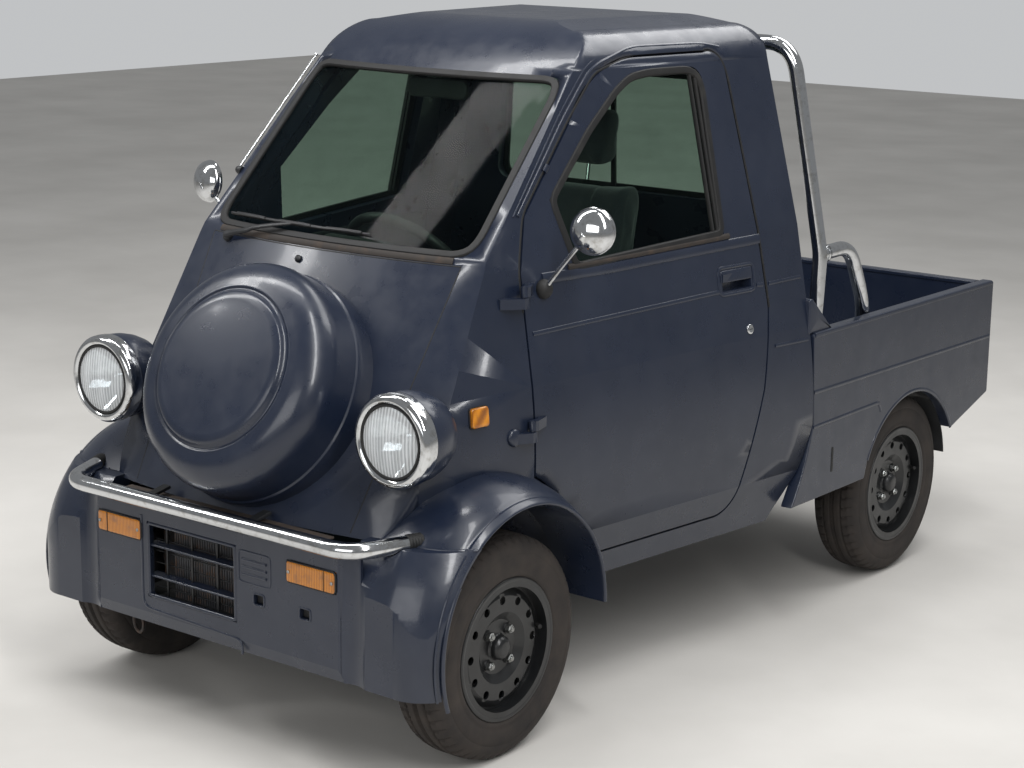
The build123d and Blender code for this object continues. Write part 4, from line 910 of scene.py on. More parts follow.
class TRUCK_OT_nose_trim(bpy.types.Operator):
    """Seams of the nose panel, the windscreen's rubber, its lower trim, the washer jet and the body cap"""

    bl_idname = "truck.nose_trim"
    bl_label = "Nose and Windscreen Trim"

    def execute(self, context):
        sizes = context.scene.truck_sizes
        corners = [(-347, 548), (-396, 1110)], [(347, 548), (396, 1110)], [(-396, 1112), (396, 1112)]
        seams = [nose_bead(line, 0, 3.0, 0.6) for line in corners]
        add_piece("nose_seams", "black rubber", seams)
        screen = across_middle([(368, 1134), (400, 1146), (408, 1172), (391, 1472), (380, 1504), (352, 1512)])
        path = spaced(rounded(screen, 14.0, closed=True), 14.0, closed=True)
        points, out = on_nose(path[:, 0], path[:, 1])
        rubber = window_seal(path, points, out, sizes.seal_width, 3.5)
        add_piece("windscreen_rubber", "black rubber", [rubber])
        trim = nose_bead([(-372, 1122), (372, 1122)], 0, 17.0, 3.0)
        add_piece("windscreen_foot_trim", "brown weathered rubber", [trim])
        place, out = spot(on_nose, -59.0, 1085.0)
        jet = turned([(0, -2), (9, -2), (9, 5), (5, 9), (0, 10)], 2.0, place, out, 20)
        spout = revolved([(0, 0), (3.2, 0), (3.2, 7), (0, 8)], place + out * 6, (0, 0.3, 1), 12)
        add_piece("washer_jet", "black moulded plastic", [jet, spout])
        place, out = spot(on_side, 124.0, 721.0)
        cap = turned([(0, -2), (21, -2), (21, 4), (16, 8), (0, 10)], 4.0, place, out, 40)
        add_piece("side_cap", "body enamel", [cap])
        return {"FINISHED"}


class TRUCK_OT_wiper(bpy.types.Operator):
    """The wiper with its arm, clawed holder and rubber blade, and the rod aerial"""

    bl_idname = "truck.wiper"
    bl_label = "Wiper and Aerial"

    def execute(self, context):
        foot, out = spot(on_nose, -330.0, 1106.0)
        spindle = turned([(0, -6), (15, -6), (15, 6), (10, 14), (0, 16)], 3.0, foot, out, 32)
        x = np.linspace(-330, -110, 12)
        z = 1106 + (x + 330) * 46 / 220
        place, out = on_nose(x, z, 13.0 + 6 * np.sin(np.linspace(0, np.pi, 12)))
        arm = swept(place, circle(5.5, 12, 0.6), out, size=np.linspace(1.6, 0.8, 12))
        x = np.linspace(-352, 132, 40)
        place, out = on_nose(x, 1152.0, 11.0)
        holder = swept(place, circle(4.2, 10, 0.8), out, size=1 - 0.5 * (2 * (x + 110) / 484) ** 2)
        place, out = on_nose(x, 1152.0, 5.0)
        edge = rounded([(-4, 5), (4, 5), (1.2, 1), (0.8, -4.4), (-0.8, -4.4), (-1.2, 1)], 0.8, True)
        rubber = swept(place, edge, out)
        claws = []
        for middle in (-270.0, -110.0, 50.0):
            place, out = on_nose(np.linspace(middle - 55, middle + 55, 7), 1152.0,
                                 13 + 2 * np.cos(np.linspace(-1.5, 1.5, 7)))
            claws.append(swept(place, circle(4.5, 8, 0.7), out))
        add_piece("wiper_arm", "black moulded plastic", [spindle, arm, holder, *claws], hides=("wiper",))
        add_piece("wiper_rubber", "black rubber", [rubber])
        foot_y, foot_z = 205.0, 1245.0
        base, out = spot(on_side, foot_y, foot_z)
        tip, _ = spot(on_side, foot_y + 262.0, foot_z + 275.0, 14.0)
        root = base + out * 9
        mast = tube(np.linspace(root, tip, 24), 3.0, 12, UP, size=np.linspace(1.0, 0.55, 24))
        knob = turned([(0, -4), (5, -3), (5, 3), (0, 5)], 2.0, tip, (0, 0.7, 0.7), 16)
        stub = turned([(0, -4), (11, -4), (11, 6), (7, 13), (0, 14)], 2.0, base, out, 24)
        add_piece("aerial_mast", "chromium plate", [flipped(mast, -1), flipped(knob, -1)], hides=("antenna",))
        add_piece("aerial_foot", "black moulded plastic", [flipped(stub, -1)])
        return {"FINISHED"}


DOOR_WINDOW = [(380, 1082), (332, 1244), (497, 1393), (613, 1478), (672, 1508), (740, 1516), (888, 1516),
               (922, 1503), (936, 1470), (926, 1105)]
DOOR_EDGE = [(189, 1000), (189, 1096), (229, 1218), (428, 1417), (548, 1524), (700, 1560), (960, 1560),
             (1018, 1550), (1041, 1502), (1069, 1106), (1085, 900)]


class TRUCK_OT_door_trim(bpy.types.Operator):
    """Window rubbers, bars, belt strips, pressed lines, handles, locks and inner cards of both doors"""

    bl_idname = "truck.door_trim"
    bl_label = "Door Trim"

    def execute(self, context):
        sizes = context.scene.truck_sizes
        path = spaced(rounded(DOOR_WINDOW, 22.0, closed=True), 14.0, closed=True)
        points, out = on_side(path[:, 0], path[:, 1])
        rubber = window_seal(path, points, out, sizes.seal_width)
        height = np.linspace(1108, 1508, 20)
        bars = []
        for y, width in ((893.0, 7.0), (912.0, 10.0)):
            place, out = on_side(y + (height - 1108) * 0.005, height, -5.0)
            bars.append(swept(place, bead_profile(width, 7.0, 4.0), out))
        belt = side_bead([(352, 1086), (620, 1090), (948, 1097)], 60.0, 15.0, 5.0)
        ledge = side_bead([(262, 1070), (480, 1068), (940, 1076), (1068, 1078)], 60.0, 26.0, 4.5)
        crease = side_bead([(214, 948), (304, 950), (893, 962)], 30.0, 11.0, sizes.crease_height)
        tail = side_bead([(1040, 962), (1066, 960)], 10.0, 11.0, sizes.crease_height)
        cup_y, cup_z = 962.0, 986.0
        outline = rectangle(cup_y - 70, cup_z - 34, cup_y + 70, cup_z + 34, 14.0)
        path = spaced(outline, 9.0, closed=True)
        place, out = on_side(path[:, 0], path[:, 1])
        frame_ring = bead(place, 9.0, 3.0, out, closed=True)
        flap_line = rectangle(cup_y - 62, cup_z - 4, cup_y + 62, cup_z + 27, 8.0)
        flap = slab(flap_line, -8.0, 2.5, facing_door, 3.0)
        lock_place, lock_out = spot(on_side, 998.0, 854.0)
        oval = turned([(0, -2), (13, -2), (13, 2.5), (9, 4.5), (5, 4.0), (0, 4.0)], 1.2, lock_place,
                      lock_out, 32)
        slit = slab(rectangle(992, 853, 1004, 855, 0.8), 3.5, 4.7, facing_door, 0.2)
        card_line = [(394, 412), (900, 412), (1010, 700), (1026, 1052), (330, 1052), (236, 900), (236, 640),
                     (330, 540)]
        card_line = rounded(card_line, 40.0, True, arc=7)
        card = slab(spaced(card_line, 30.0, True), -46.0, -37.0, facing_door, 3.0, rings=5)
        rest_line = rounded([(560, 740), (860, 760), (860, 812), (620, 800), (560, 775)], 18.0, True)
        rest = slab(rest_line, -88.0, -44.0, facing_door, 10.0)
        bow = -44 - 22 * np.sin(np.linspace(0, np.pi, 12))
        pull = tube(on_side(np.linspace(640, 780, 12), 850.0, bow)[0], 8.0, 12, UP)
        crank_hub, crank_out = spot(on_side, 500.0, 700.0, -44.0)
        crank = turned([(0, 0), (20, 0), (20, 8), (14, 14), (0, 14)], 3.0, crank_hub, -crank_out, 24)
        handle = tube(np.linspace(crank_hub - crank_out * 12, crank_hub + (-16, 62, 30), 8), 6.0, 12, LEFT)
        knob = turned([(0, -4), (9, -4), (9, 22), (0, 24)], 3.0, crank_hub + (-14, 62, 30), -crank_out, 20)
        for name, finish, shapes in (
                ("window_rubber", "black rubber", [rubber, *bars]),
                ("belt_strip", "brown weathered rubber", [belt]),
                ("door_pressings", "body enamel", [ledge, crease, tail, frame_ring]),
                ("handle_flap", "body enamel", [flap]),
                ("door_lock", "chromium plate", [oval]),
                ("lock_slit", "black rubber", [slit]),
                ("door_card", "door card vinyl", [card, rest]),
                ("door_pull", "black moulded plastic", [pull, crank, handle, knob])):
            add_pair(name, finish, "door", *shapes)
        return {"FINISHED"}


class TRUCK_OT_cab_trim(bpy.types.Operator):
    """Drip rails, door seals, quarter panel lines, the rear window's rubber and bar, side marker lamps"""

    bl_idname = "truck.cab_trim"
    bl_label = "Cab Trim"

    def execute(self, context):
        sizes = context.scene.truck_sizes
        rail = np.array(DOOR_EDGE[2:8], float)
        middle = np.array((760.0, 1250.0))
        rails = []
        for distance, width, height in ((16.0, 11.0, 5.0), (30.0, 6.0, 2.5)):
            rails.append(side_bead(rail + unit(rail - middle) * distance, 40.0, width, height, 12.0))
        add_both("drip_rails", "body enamel", *rails)
        add_both("door_seals", "black rubber", side_bead(DOOR_EDGE, 26.0, 6.0, 0.8, 12.0, sink=9.0))
        add_both("rail_joints", "body enamel", side_bead([(322, 1308), (336, 1322)], 0, 16.0, 6.5, 5.0))
        lines = [side_bead(line, 0, 10.0, sizes.crease_height)
                 for line in ([(1096, 797), (1236, 795)], [(1090, 960), (1225, 962)])]
        add_both("quarter_pressings", "body enamel", *lines)
        window = across_middle([(350, 1142), (378, 1153), (386, 1178), (364, 1428), (352, 1458), (326, 1468)])
        path = spaced(rounded(window, 14.0, closed=True), 14.0, closed=True)
        rear = np.stack([path[:, 0], CAB_REAR_Y - 34 * (path[:, 1] - 820) / 745, path[:, 1]], axis=1)
        rubber = window_seal(path, rear, (0, 1, 0.0456), sizes.seal_width, side=-1)
        add_piece("rear_window_rubber", "black rubber", [rubber])
        divider = swept([(0, CAB_REAR_Y - 22, 1146), (0, CAB_REAR_Y - 36, 1464)], bead_profile(14, 10, 4),
                        (0, 1, 0.04))
        add_piece("rear_window_bar", "black rubber", [divider])
        y, z = 13.0, 788.0
        outline = rectangle(y - 27, z - 23, y + 27, z + 23, 9.0)
        lens = slab(outline, -3.0, 11.0, facing_door, 4.0, rings=3)
        seat = slab(outline + (outline - (y, z)) * 0.1, -2.0, 3.0, facing_door, 1.0)
        add_both("marker_lenses", "amber acrylic", lens, hides=("side_markers",))
        add_both("marker_seats", "black rubber", seat)
        return {"FINISHED"}


class TRUCK_OT_mirrors(bpy.types.Operator):
    """The round plated door mirrors on thin stems with rubber feet"""

    bl_idname = "truck.mirrors"
    bl_label = "Mirrors"

    def execute(self, context):
        foot_y, foot_z = 262.0, 1046.0
        foot, out = spot(on_side, foot_y, foot_z)
        head = np.array((620.0, foot_y, 1195.0))
        facing = unit(np.array((-0.22, 1.0, -0.1)))
        turn = np.linspace(0, np.pi / 2, 14)
        dome = np.stack([54 * np.sin(turn), 6 - 32 * np.cos(turn)], axis=1)
        dome = np.vstack([dome, [(55, 7), (55.5, 11), (54, 14), (50, 14), (50, 10), (0, 10)]])
        glass = rounded([(0, 8), (49.5, 8), (49.5, 11.5), (0, 12.5)], 0.8)
        stem = tube(spaced(rounded([foot + out * 6, foot + (46, 0, 52), head - facing * 8], 40.0), 6), 5.5,
                    16, REAR)
        nut = turned([(0, -8), (9, -8), (9, 8), (0, 8)], 2.0, head - facing * 22 + (-12, 0, -14),
                     (0.6, 0, 0.8), 16)
        boot = turned([(0, -4), (23, -4), (24, 6), (17, 17), (9, 22), (0, 23)], 5.0, foot, out, 32)
        add_pair("mirror_dome", "chromium plate", "door", revolved(dome, head, facing, 64), hides=("mirror",))
        add_pair("mirror_glass", "lamp reflector silver", "door", revolved(glass, head, facing, 48))
        add_pair("mirror_stem", "chromium plate", "door", stem, nut)
        add_pair("mirror_boot", "black rubber", "door", boot)
        return {"FINISHED"}


WHEELS = (("front_wheel", "front", 0.0), ("rear_wheel", "rear", WHEELBASE))
RIM_FACE_X = TRACK_HALF - TYRE_WIDTH / 2
STUD_RADIUS = 50


class TRUCK_OT_tyres(bpy.types.Operator):
    """Four tyres with three grooves, shoulder blocks and ribbed walls"""

    bl_idname = "truck.tyres"
    bl_label = "Tyres"

    def execute(self, context):
        sizes = context.scene.truck_sizes
        deep, pitches = sizes.tread_depth, sizes.tread_pitches
        width, radius = TYRE_WIDTH, TYRE_RADIUS
        wall = [(152, 10), (167, 10), (171, 5), (180, 2.4), (183, 3.6), (190, 1.8), (205, 0.6), (221, 0.9),
                (224, 2.4), (228, 1.4), (240, 4.4), (247, 8), (253, 12.5)]
        flat = np.linspace(20, 70, 40)
        groove = np.minimum(1.0, np.minimum(np.abs(flat - 42) / 4, np.abs(flat - 66) / 4))
        crown = radius - 4.5 * ((70 - flat) / 50) ** 4 - deep * (1 - groove)
        half = np.vstack([wall, np.stack([crown, flat], axis=1)])
        profile = np.vstack([half, (half * (1, -1) + (0, width))[::-1]])
        inner = [(160, width - 14), (236, width - 22), (248, width / 2), (236, 22), (160, 14)]
        profile = np.vstack([profile, inner, profile[:1]])

        def blocks(angle, spoke, distance):
            """Lowers the tread where cos(n a + s) passes 0.72: n cuts round each shoulder, finer inside."""
            outer = np.abs(distance - width / 2)
            lean = (distance - width / 2) / 26
            lug = np.clip((np.cos(pitches * angle + lean) - 0.72) / 0.12, 0, 1)
            cut = np.clip((np.cos(2 * pitches * angle - 2 * lean) - 0.86) / 0.1, 0, 1)
            share = np.where(outer > 30, lug, 0.5 * cut)
            tread = (spoke > 244) & (outer < 60)
            return np.where(tread, spoke - deep * 0.8 * share, spoke), distance

        for body, place, y in WHEELS:
            tyre = revolved(profile, (RIM_FACE_X, y, AXLE_Z), LEFT, 324, blocks)
            add_pair(place + "_tread", "tyre rubber", body, tyre, hides=(place + "_tyre",), crease=40.0)
        return {"FINISHED"}


class TRUCK_OT_wheels(bpy.types.Operator):
    """Pressed steel wheels: lips, wheel nuts, hub caps and tyre valves"""

    bl_idname = "truck.wheels"
    bl_label = "Wheels"

    def execute(self, context):
        lip = looped(rounded([(166, 3), (169, 4.5), (169, 11), (160, 11), (151, 14), (148, 9), (160, 3.5)],
                             2.0, closed=True))
        cup = rounded([(0, 129), (18, 128), (25, 121), (28, 106), (34, 102)], 5.0)
        cup = np.vstack([cup, [(30, 98), (0, 98)]])
        for body, place, y in WHEELS:
            hub = (RIM_FACE_X, y, AXLE_Z)
            outer_lip = revolved(lip * (1, -1) + (0, TYRE_WIDTH), hub, LEFT, 96)
            inner_lip = revolved(lip, hub, LEFT, 96)
            turn = np.radians(45 + 90 * np.arange(4))
            studs = [(RIM_FACE_X + 102, y + STUD_RADIUS * math.cos(a), AXLE_Z + STUD_RADIUS * math.sin(a))
                     for a in turn]
            seats = [revolved([(0, 0), (14, 0), (12, 5), (0, 5)], stud, LEFT, 24) for stud in studs]
            nuts = bolt_heads([np.add(stud, (4, 0, 0)) for stud in studs], LEFT, 10.5, 13.0)
            tips = [turned([(0, 0), (6, 0), (6, 5), (0, 6)], 1.5, np.add(stud, (15, 0, 0)), LEFT, 16)
                    for stud in studs]
            valve = turned([(0, 0), (5, 0), (4, 14), (5.5, 16), (5.5, 24), (0, 26)], 1.2,
                           (RIM_FACE_X + 108, y + 136, AXLE_Z + 20), (0.9, -0.4, 0.0), 14)
            for name, finish, shapes in (
                    ("lips", "black wheel enamel", [outer_lip, inner_lip]),
                    ("nuts", "zinc plated steel", nuts + tips),
                    ("nut_seats", "black wheel enamel", seats),
                    ("hub_cup", "black wheel enamel", [revolved(cup, hub, LEFT, 48)]),
                    ("valve", "black rubber", [valve])):
                add_pair(place + "_" + name, finish, body, *shapes)
        return {"FINISHED"}


ARCH = (16.0, 305.0)
WING_FOOT_Z = 548.5


def arc_through(a, b, c, steps):
    """Points on the circle through three 2-D points, from the first to the last."""
    a, b, c = (np.array(point, float) for point in (a, b, c))
    sides = 2 * np.array([b - a, c - a])
    centre = np.linalg.solve(sides, [b @ b - a @ a, c @ c - a @ a])
    start, end = (math.atan2(*(point - centre)[::-1]) for point in (a, c))
    turn = np.linspace(start, end, steps)[:, None]
    return centre + np.linalg.norm(a - centre) * np.concatenate([np.cos(turn), np.sin(turn)], axis=1)


def on_arch(x, radius, angle):
    """A point at a radius from the front wheel arch's centre: y 16 + r cos a, z 305 + r sin a."""
    x, radius, angle = np.broadcast_arrays(np.asarray(x, float), radius, angle)
    return np.stack([x, ARCH[0] + radius * np.cos(angle), ARCH[1] + radius * np.sin(angle)], axis=-1)


class TRUCK_OT_wings(bpy.types.Operator):
    """The front wings with their hems, the seams where they meet the bumper, rear arch hems and liners"""

    bl_idname = "truck.wings"
    bl_label = "Wings"

    def execute(self, context):
        lip = rounded([(640, 297), (645, 298), (648, 302), (645, 306), (631, 314), (627, 313), (622, 317)],
                      2.5)
        dome = arc_through((645, 302), (599, 330.8), (540, 348), 22)
        section = np.vstack([lip, dome[dome[:, 0] < 619], [(515, 349.5), (490, 350), (465, 350)]])
        share = np.linspace(0, 1, 72)[None, :]
        x, radius = section[:, :1], section[:, 1:]
        end = np.pi - np.arcsin((WING_FOOT_Z - ARCH[1]) / radius)
        outer = on_arch(x + 0 * share, radius + 0 * share, end * share)
        seat = np.interp(outer[:, :, 1], (-283, -262, -238, -190, -153, 60, 380),
                         (330, 385, 410, 435, 447, 470, 500))
        flat = outer[:, :, 0] < 539
        across = (539 - outer[:, :, 0]) / (539 - 465)
        outer[:, :, 0] = np.where(flat, 539 - across * (539 - seat), outer[:, :, 0])
        end = math.pi - math.asin((WING_FOOT_Z - ARCH[1]) / 297)
        inner = on_arch(np.array([[1.0], [0.0]]) * (outer[-1:, :, 0] - 636) + 636, 297.0, end * share)
        loop = np.concatenate([outer, inner])
        middle = loop.mean(axis=0, keepdims=True)
        closed = np.concatenate([middle[:, :1] + 0 * loop[:, :1], loop, middle[:, -1:] + 0 * loop[:, :1]],
                                axis=1)
        add_both("front_wing_skins", "body enamel", grid(closed, wrap_rows=True),
                  hides=("front_wings",), crease=40.0)
        turn = np.radians(np.linspace(145, 200, 24))
        roll = tube(on_arch(643, 299.0, turn), 5.0, 12, LEFT)
        line = tube(on_arch(634, 315.0, np.radians(np.linspace(132, 194, 24))), 3.0, 10, LEFT)
        add_both("corner_hems", "body enamel", roll, line)
        edge = section[section[:, 1] > 305]
        place = np.stack([edge[:, 0], ARCH[0] - np.sqrt(edge[:, 1] ** 2 - (WING_FOOT_Z - ARCH[1]) ** 2),
                          0 * edge[:, 0] + WING_FOOT_Z], axis=1)
        seam = bead(spaced(place, 8), 7.0, 2.2, (0, -0.72, 0.69))
        add_both("wing_seams", "body enamel", seam)
        turn = np.radians(np.linspace(27, 153, 44))
        rear = np.stack([0 * turn + BED_SIDE_X - 1, WHEELBASE + 286 * np.cos(turn),
                         AXLE_Z + 286 * np.sin(turn)], axis=1)
        hem = bead(rear, 12.0, 3.0, LEFT)
        add_both("rear_arch_hems", "body enamel", hem)
        turn = np.radians(np.linspace(8, 152, 40))[:, None]
        x = np.linspace(470, 606, 3)[None, :]
        skins = [np.stack([x + 0 * turn, WHEELBASE + radius * np.cos(turn) + 0 * x,
                           AXLE_Z + radius * np.sin(turn) + 0 * x], axis=-1) for radius in (288.0, 291.0)]
        liner = closed_sheet(np.concatenate([skins[0], skins[1][::-1]]))
        add_both("rear_arch_liners", "black chassis paint", liner)
        return {"FINISHED"}


class TRUCK_OT_bed(bpy.types.Operator):
    """The bed's ribbed floor, wall ribs, rail caps, pressed lines, gussets and slots"""

    bl_idname = "truck.bed"
    bl_label = "Bed"

    def execute(self, context):
        sizes = context.scene.truck_sizes
        front, rear = 1304.0, 2276.0
        x = np.linspace(-600, 600, 40 * sizes.bed_ribs // 2)[:, None]
        y = np.linspace(front, rear, 12)[None, :]
        wave = np.clip(1.6 * np.cos(np.pi * 2 * x * sizes.bed_ribs / 1200), -1, 1)
        ends = np.clip(np.minimum(y - front, rear - y) / 40, 0, 1)
        top = np.stack([x + 0 * y, y + 0 * x, BED_FLOOR_Z + 3.2 + 2.4 * wave * ends], axis=-1)
        add_piece("bed_ribs", "bed enamel", [closed_sheet(np.concatenate([top, top[::-1] - (0, 0, 3)]))])
        cap = rounded([(1.5, -9), (1.5, 1), (-3, 3.5), (-32, 3.5), (-36.5, 0), (-36.5, -12), (-35, -12),
                       (-33, 0), (-2, 0), (0.2, -9)], 2.0, closed=True)
        rail = swept([(BED_SIDE_X, y, RAIL_Z) for y in np.linspace(1262, 2318, 24)], cap, UP)
        add_both("bed_rail_caps", "body enamel", rail)
        long_line = [(BED_SIDE_X, y, 645 - (y - 1277) * 0.0077) for y in np.linspace(1268, 2320, 20)]
        step = rounded([(1272, 548), (1634, 552), (1648, 524)], 9.0)
        step = spaced(np.insert(step, 0, BED_SIDE_X, axis=1), 14)
        creases = [bead(long_line, 12, sizes.crease_height, LEFT), bead(step, 11, sizes.crease_height, LEFT)]
        add_both("bed_pressings", "body enamel", *creases)
        ribs = [bead([(BED_INNER_X, y, 600), (BED_INNER_X, y, 790)], 26, 3.5, RIGHT)
                for y in np.linspace(1420, 2200, 6)]
        ribs += [bead([(BED_INNER_X, y, 720) for y in (1320, 1800, 2280)], 14, 3.5, RIGHT)]
        add_both("bed_wall_ribs", "bed enamel", *ribs)
        line = rounded([(1238, 806), (1238, 900), (1252, 902), (1352, 815), (1360, 806)], 6.0, closed=True)
        gusset = slab(line, 604, 634, facing_side, 4.0)
        add_both("bed_gussets", "body enamel", gusset)
        slot = slab(rectangle(1376, 402, 1387, 472, 4.0), 638, 641.8, facing_side, 0.5)
        add_both("bed_slots", "black rubber", slot)
        front_ribs = [bead([(x, 1302, 600), (x, 1302, 792)], 30, 3.5, REAR)
                      for x in np.linspace(-420, 420, 5)]
        add_piece("bed_front_ribs", "bed enamel", front_ribs)
        return {"FINISHED"}


class TRUCK_OT_tailgate(bpy.types.Operator):
    """The tailgate's pressed panel, cap and latches, the tail lamps, and the blank plate's holder and lamp"""

    bl_idname = "truck.tailgate"
    bl_label = "Tailgate and Tail Lamps"

    def execute(self, context):
        sizes = context.scene.truck_sizes
        outer_y = 2322.0
        panel = rectangle(-540, 618, 540, 776, 22.0)
        ring = front_path(panel, 16, outer_y)
        pressings = [bead(ring, 14, sizes.crease_height + 1, REAR, closed=True)]
        pressings += [bead([(x, outer_y, z) for x in (-500, 0, 500)], 16, 3.0, REAR) for z in (664, 730)]
        add_piece("gate_pressings", "body enamel", pressings, body="tailgate")
        cap = rounded([(-3, -8), (-3, 2), (2, 4), (28, 4), (33, 2), (33, -8), (30, -8), (30, 0), (0, 0),
                       (0, -8)], 1.5, True)
        top = swept([(x, outer_y, 800) for x in (-594, 0, 594)], cap, UP)
        add_piece("gate_cap", "body enamel", [top], body="tailgate")
        latch = slab(rectangle(560, 740, 590, 782, 5.0), outer_y, outer_y + 9, facing_front, 2.0)
        lever = slab(rectangle(568, 700, 582, 768, 5.0), outer_y + 8, outer_y + 16, facing_front, 2.5)
        add_piece("gate_latches", "zinc plated steel", both_sides(latch, lever), body="tailgate")
        rubber = [tube([(x, 2292, 598), (x, 2292, 612)], 6, 10, REAR) for x in (-560, 560)]
        add_piece("gate_stops", "black rubber", rubber, body="tailgate")
        face_y, back = 2326.0, 2364.0
        housing = slab(rectangle(466, 451, 594, 539, 10.0), face_y, face_y + 12, facing_front, 3.0)
        red = slab(rectangle(472, 457, 548, 533, 7.0), face_y + 8, back, facing_front, 6.0, 3)
        amber = slab(rectangle(551, 457, 588, 533, 7.0), face_y + 8, back, facing_front, 6.0, 3)
        add_both("tail_lamp_seats", "black moulded plastic", housing, hides=("tail_lamps",))
        add_both("tail_lamp_red", "red acrylic", red)
        add_both("tail_lamp_amber", "amber acrylic", amber)
        screws = bolt_heads([(x, back, z) for x in (482, 578) for z in (466, 524)], REAR, 3.5, -1.5)
        add_both("tail_lamp_screws", "zinc plated steel", *screws)
        holder = slab(rectangle(-165, 446, 165, 540, 8.0), face_y, face_y + 5, facing_front, 1.5)
        add_piece("plate_holder", "black chassis paint", [holder])
        lamp = slab(rectangle(-34, 526, 34, 544, 5.0), face_y + 4, face_y + 26, facing_front, 4.0)
        add_piece("plate_lamp", "black moulded plastic", [lamp])
        return {"FINISHED"}


class TRUCK_OT_roll_bar(bpy.types.Operator):
    """The plated hoop behind the cab, its two braces, and its bolted feet"""

    bl_idname = "truck.roll_bar"
    bl_label = "Roll Bar"

    def execute(self, context):
        side = [(565, 1372, BED_FLOOR_Z + 5), (578, 1377, 1000), (500, 1318, 1560)]
        corners = side + [(-x, y, z) for x, y, z in reversed(side)]
        hoop = spaced(rounded(corners, (0, 20, 80, 80, 20, 0), arc=13), 14.0)
        brace = spaced(rounded([(578, 1378, 1000), (578, 1535, 1003), (578, 1625, 835),
                                (575, 1640, BED_FLOOR_Z + 5)], (0, 62, 40, 0), arc=11), 12.0)
        add_piece("hoop_tubes", "chromium plate",
                  [tube(hoop, 20.0, 32, REAR), *both_sides(tube(brace, 20.0, 32, LEFT))],
                  hides=("roll_bar",))
        feet, bolts, welds = [], [], []
        x, top = 565.0, BED_FLOOR_Z + 6.5
        for y, tube_x in ((1372.0, x), (1640.0, x + 10)):
            feet.append(slab(rectangle(x - 34, y - 40, x + 34, y + 40, 9.0), top - 6, top, facing_up, 1.5))
            places = [(x + a, y + b, top) for a in (-24, 24) for b in (-30, 30)]
            bolts += bolt_heads(places, UP, 8.0, 6.0)
            welds.append(revolved(circle(4.0, 10) + (22.0, 0.0), (tube_x, y, top + 1.5), UP, 32))
        saddle = revolved(circle(4.0, 10) + (21.0, 0.0), (578, 1398, 1000), REAR, 32)
        add_both("hoop_feet", "chromium plate", *feet, *welds, saddle)
        add_both("hoop_bolts", "zinc plated steel", *bolts)
        return {"FINISHED"}


PAD_EDGE = 16.0
PAD_COLUMNS = 34
CHANNEL = 5.0


def pad_mesh(outline, low, high, bulge, channels=()):
    """A stuffed pad from a (y, z) outline: its grid runs round the outline and across from low to high, and
    each point moves out by bulge * (1 - (2 s - 1)^6) with s across, less 5 exp(-(d / 5)^2) at a distance d
    from each sewn channel. Its edges are quarter circles."""
    path = spaced(outline, 11.0, closed=True)
    ahead = unit(np.roll(path, -1, axis=0) - np.roll(path, 1, axis=0))
    out = np.stack([ahead[:, 1], -ahead[:, 0]], axis=1) * winding(path)
    edge = np.linspace(0, np.pi / 2, 6)
    rim = PAD_EDGE * (1 - np.sin(edge))
    middle = np.linspace(low + 1.5 * PAD_EDGE, high - 1.5 * PAD_EDGE, PAD_COLUMNS)
    across = np.sort(np.r_[low + rim, middle, high - rim])
    fall = PAD_EDGE * (1 - np.cos(edge))
    inset = np.r_[-fall[::-1], np.zeros(PAD_COLUMNS), -fall][:, None]
    share = (across - low) / (high - low)
    lift = bulge * (1 - (2 * share - 1) ** 6)[:, None] + inset
    for place in channels:
        lift = lift - CHANNEL * np.exp(-((across - place) / CHANNEL) ** 2)[:, None]
    flat = path[None] + out[None] * lift[..., None]
    points = np.concatenate([across[:, None, None] + 0 * flat[..., :1], flat], axis=-1)
    middle = points.mean(axis=1, keepdims=True)
    first, last = (middle[:1] + points[:1]) / 2, (middle[-1:] + points[-1:]) / 2
    return np.concatenate([middle[:1] + 0 * first, first, points, last, middle[-1:] + 0 * last])


class TRUCK_OT_seat(bpy.types.Operator):
    """The cloth seat: cushion, back and headrest, blown up like stuffed covers, and the headrest's posts"""

    bl_idname = "truck.seat"
    bl_label = "Seat"

    def execute(self, context):
        base = 560.3
        top = base + 110
        cushion = rounded([(505, base + 2), (1000, base + 2), (1036, base + 40), (1040, top - 20),
                           (1016, top - 4), (560, top - 4), (505, top - 12), (498, top - 60)], 26.0,
                          closed=True)
        back = rounded([(946, top + 5), (1040, top + 5), (1124, 1130), (1112, 1172), (1080, 1178),
                        (1042, 1170), (1030, 1138)], 26.0, closed=True)
        rest = rounded([(1048, 1222), (1110, 1222), (1134, 1236), (1142, 1262), (1152, 1348), (1136, 1374),
                        (1100, 1370), (1068, 1346), (1044, 1258)], 20.0, closed=True)
        seat_x = -40.0
        for node, outline, half, channels, fill in (
                ("seat_cushion", cushion, 224, (-110, 110), 0.8),
                ("seat_back", back, 214, (-100, 100), 0.8),
                ("headrest", rest, 114, (), 0.9)):
            points = pad_mesh(outline, -half, half, -3.0, channels) + (seat_x, 0, 0)
            pad = add_piece(node + "_pad", "woven seat cloth", [grid(points, wrap_columns=True)], (node,),
                            crease=60.0)
            inflate(pad, 9.0 * MM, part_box(node))
            finer = pad.modifiers.new("Finer cloth", "SUBSURF")
            finer.levels = finer.render_levels = 1
        posts = [tube([(x, 1084, 1178), (x, 1091, 1228)], 6.0, 16, REAR) for x in (seat_x - 50, seat_x + 50)]
        add_piece("headrest_posts", "chromium plate", posts)
        return {"FINISHED"}


SKIN_VOXEL = 0.006
STUFFING_PRESSURE = 4.0
CLOTH_STIFFNESS = 15.0
CLOTH_FRAMES = 20


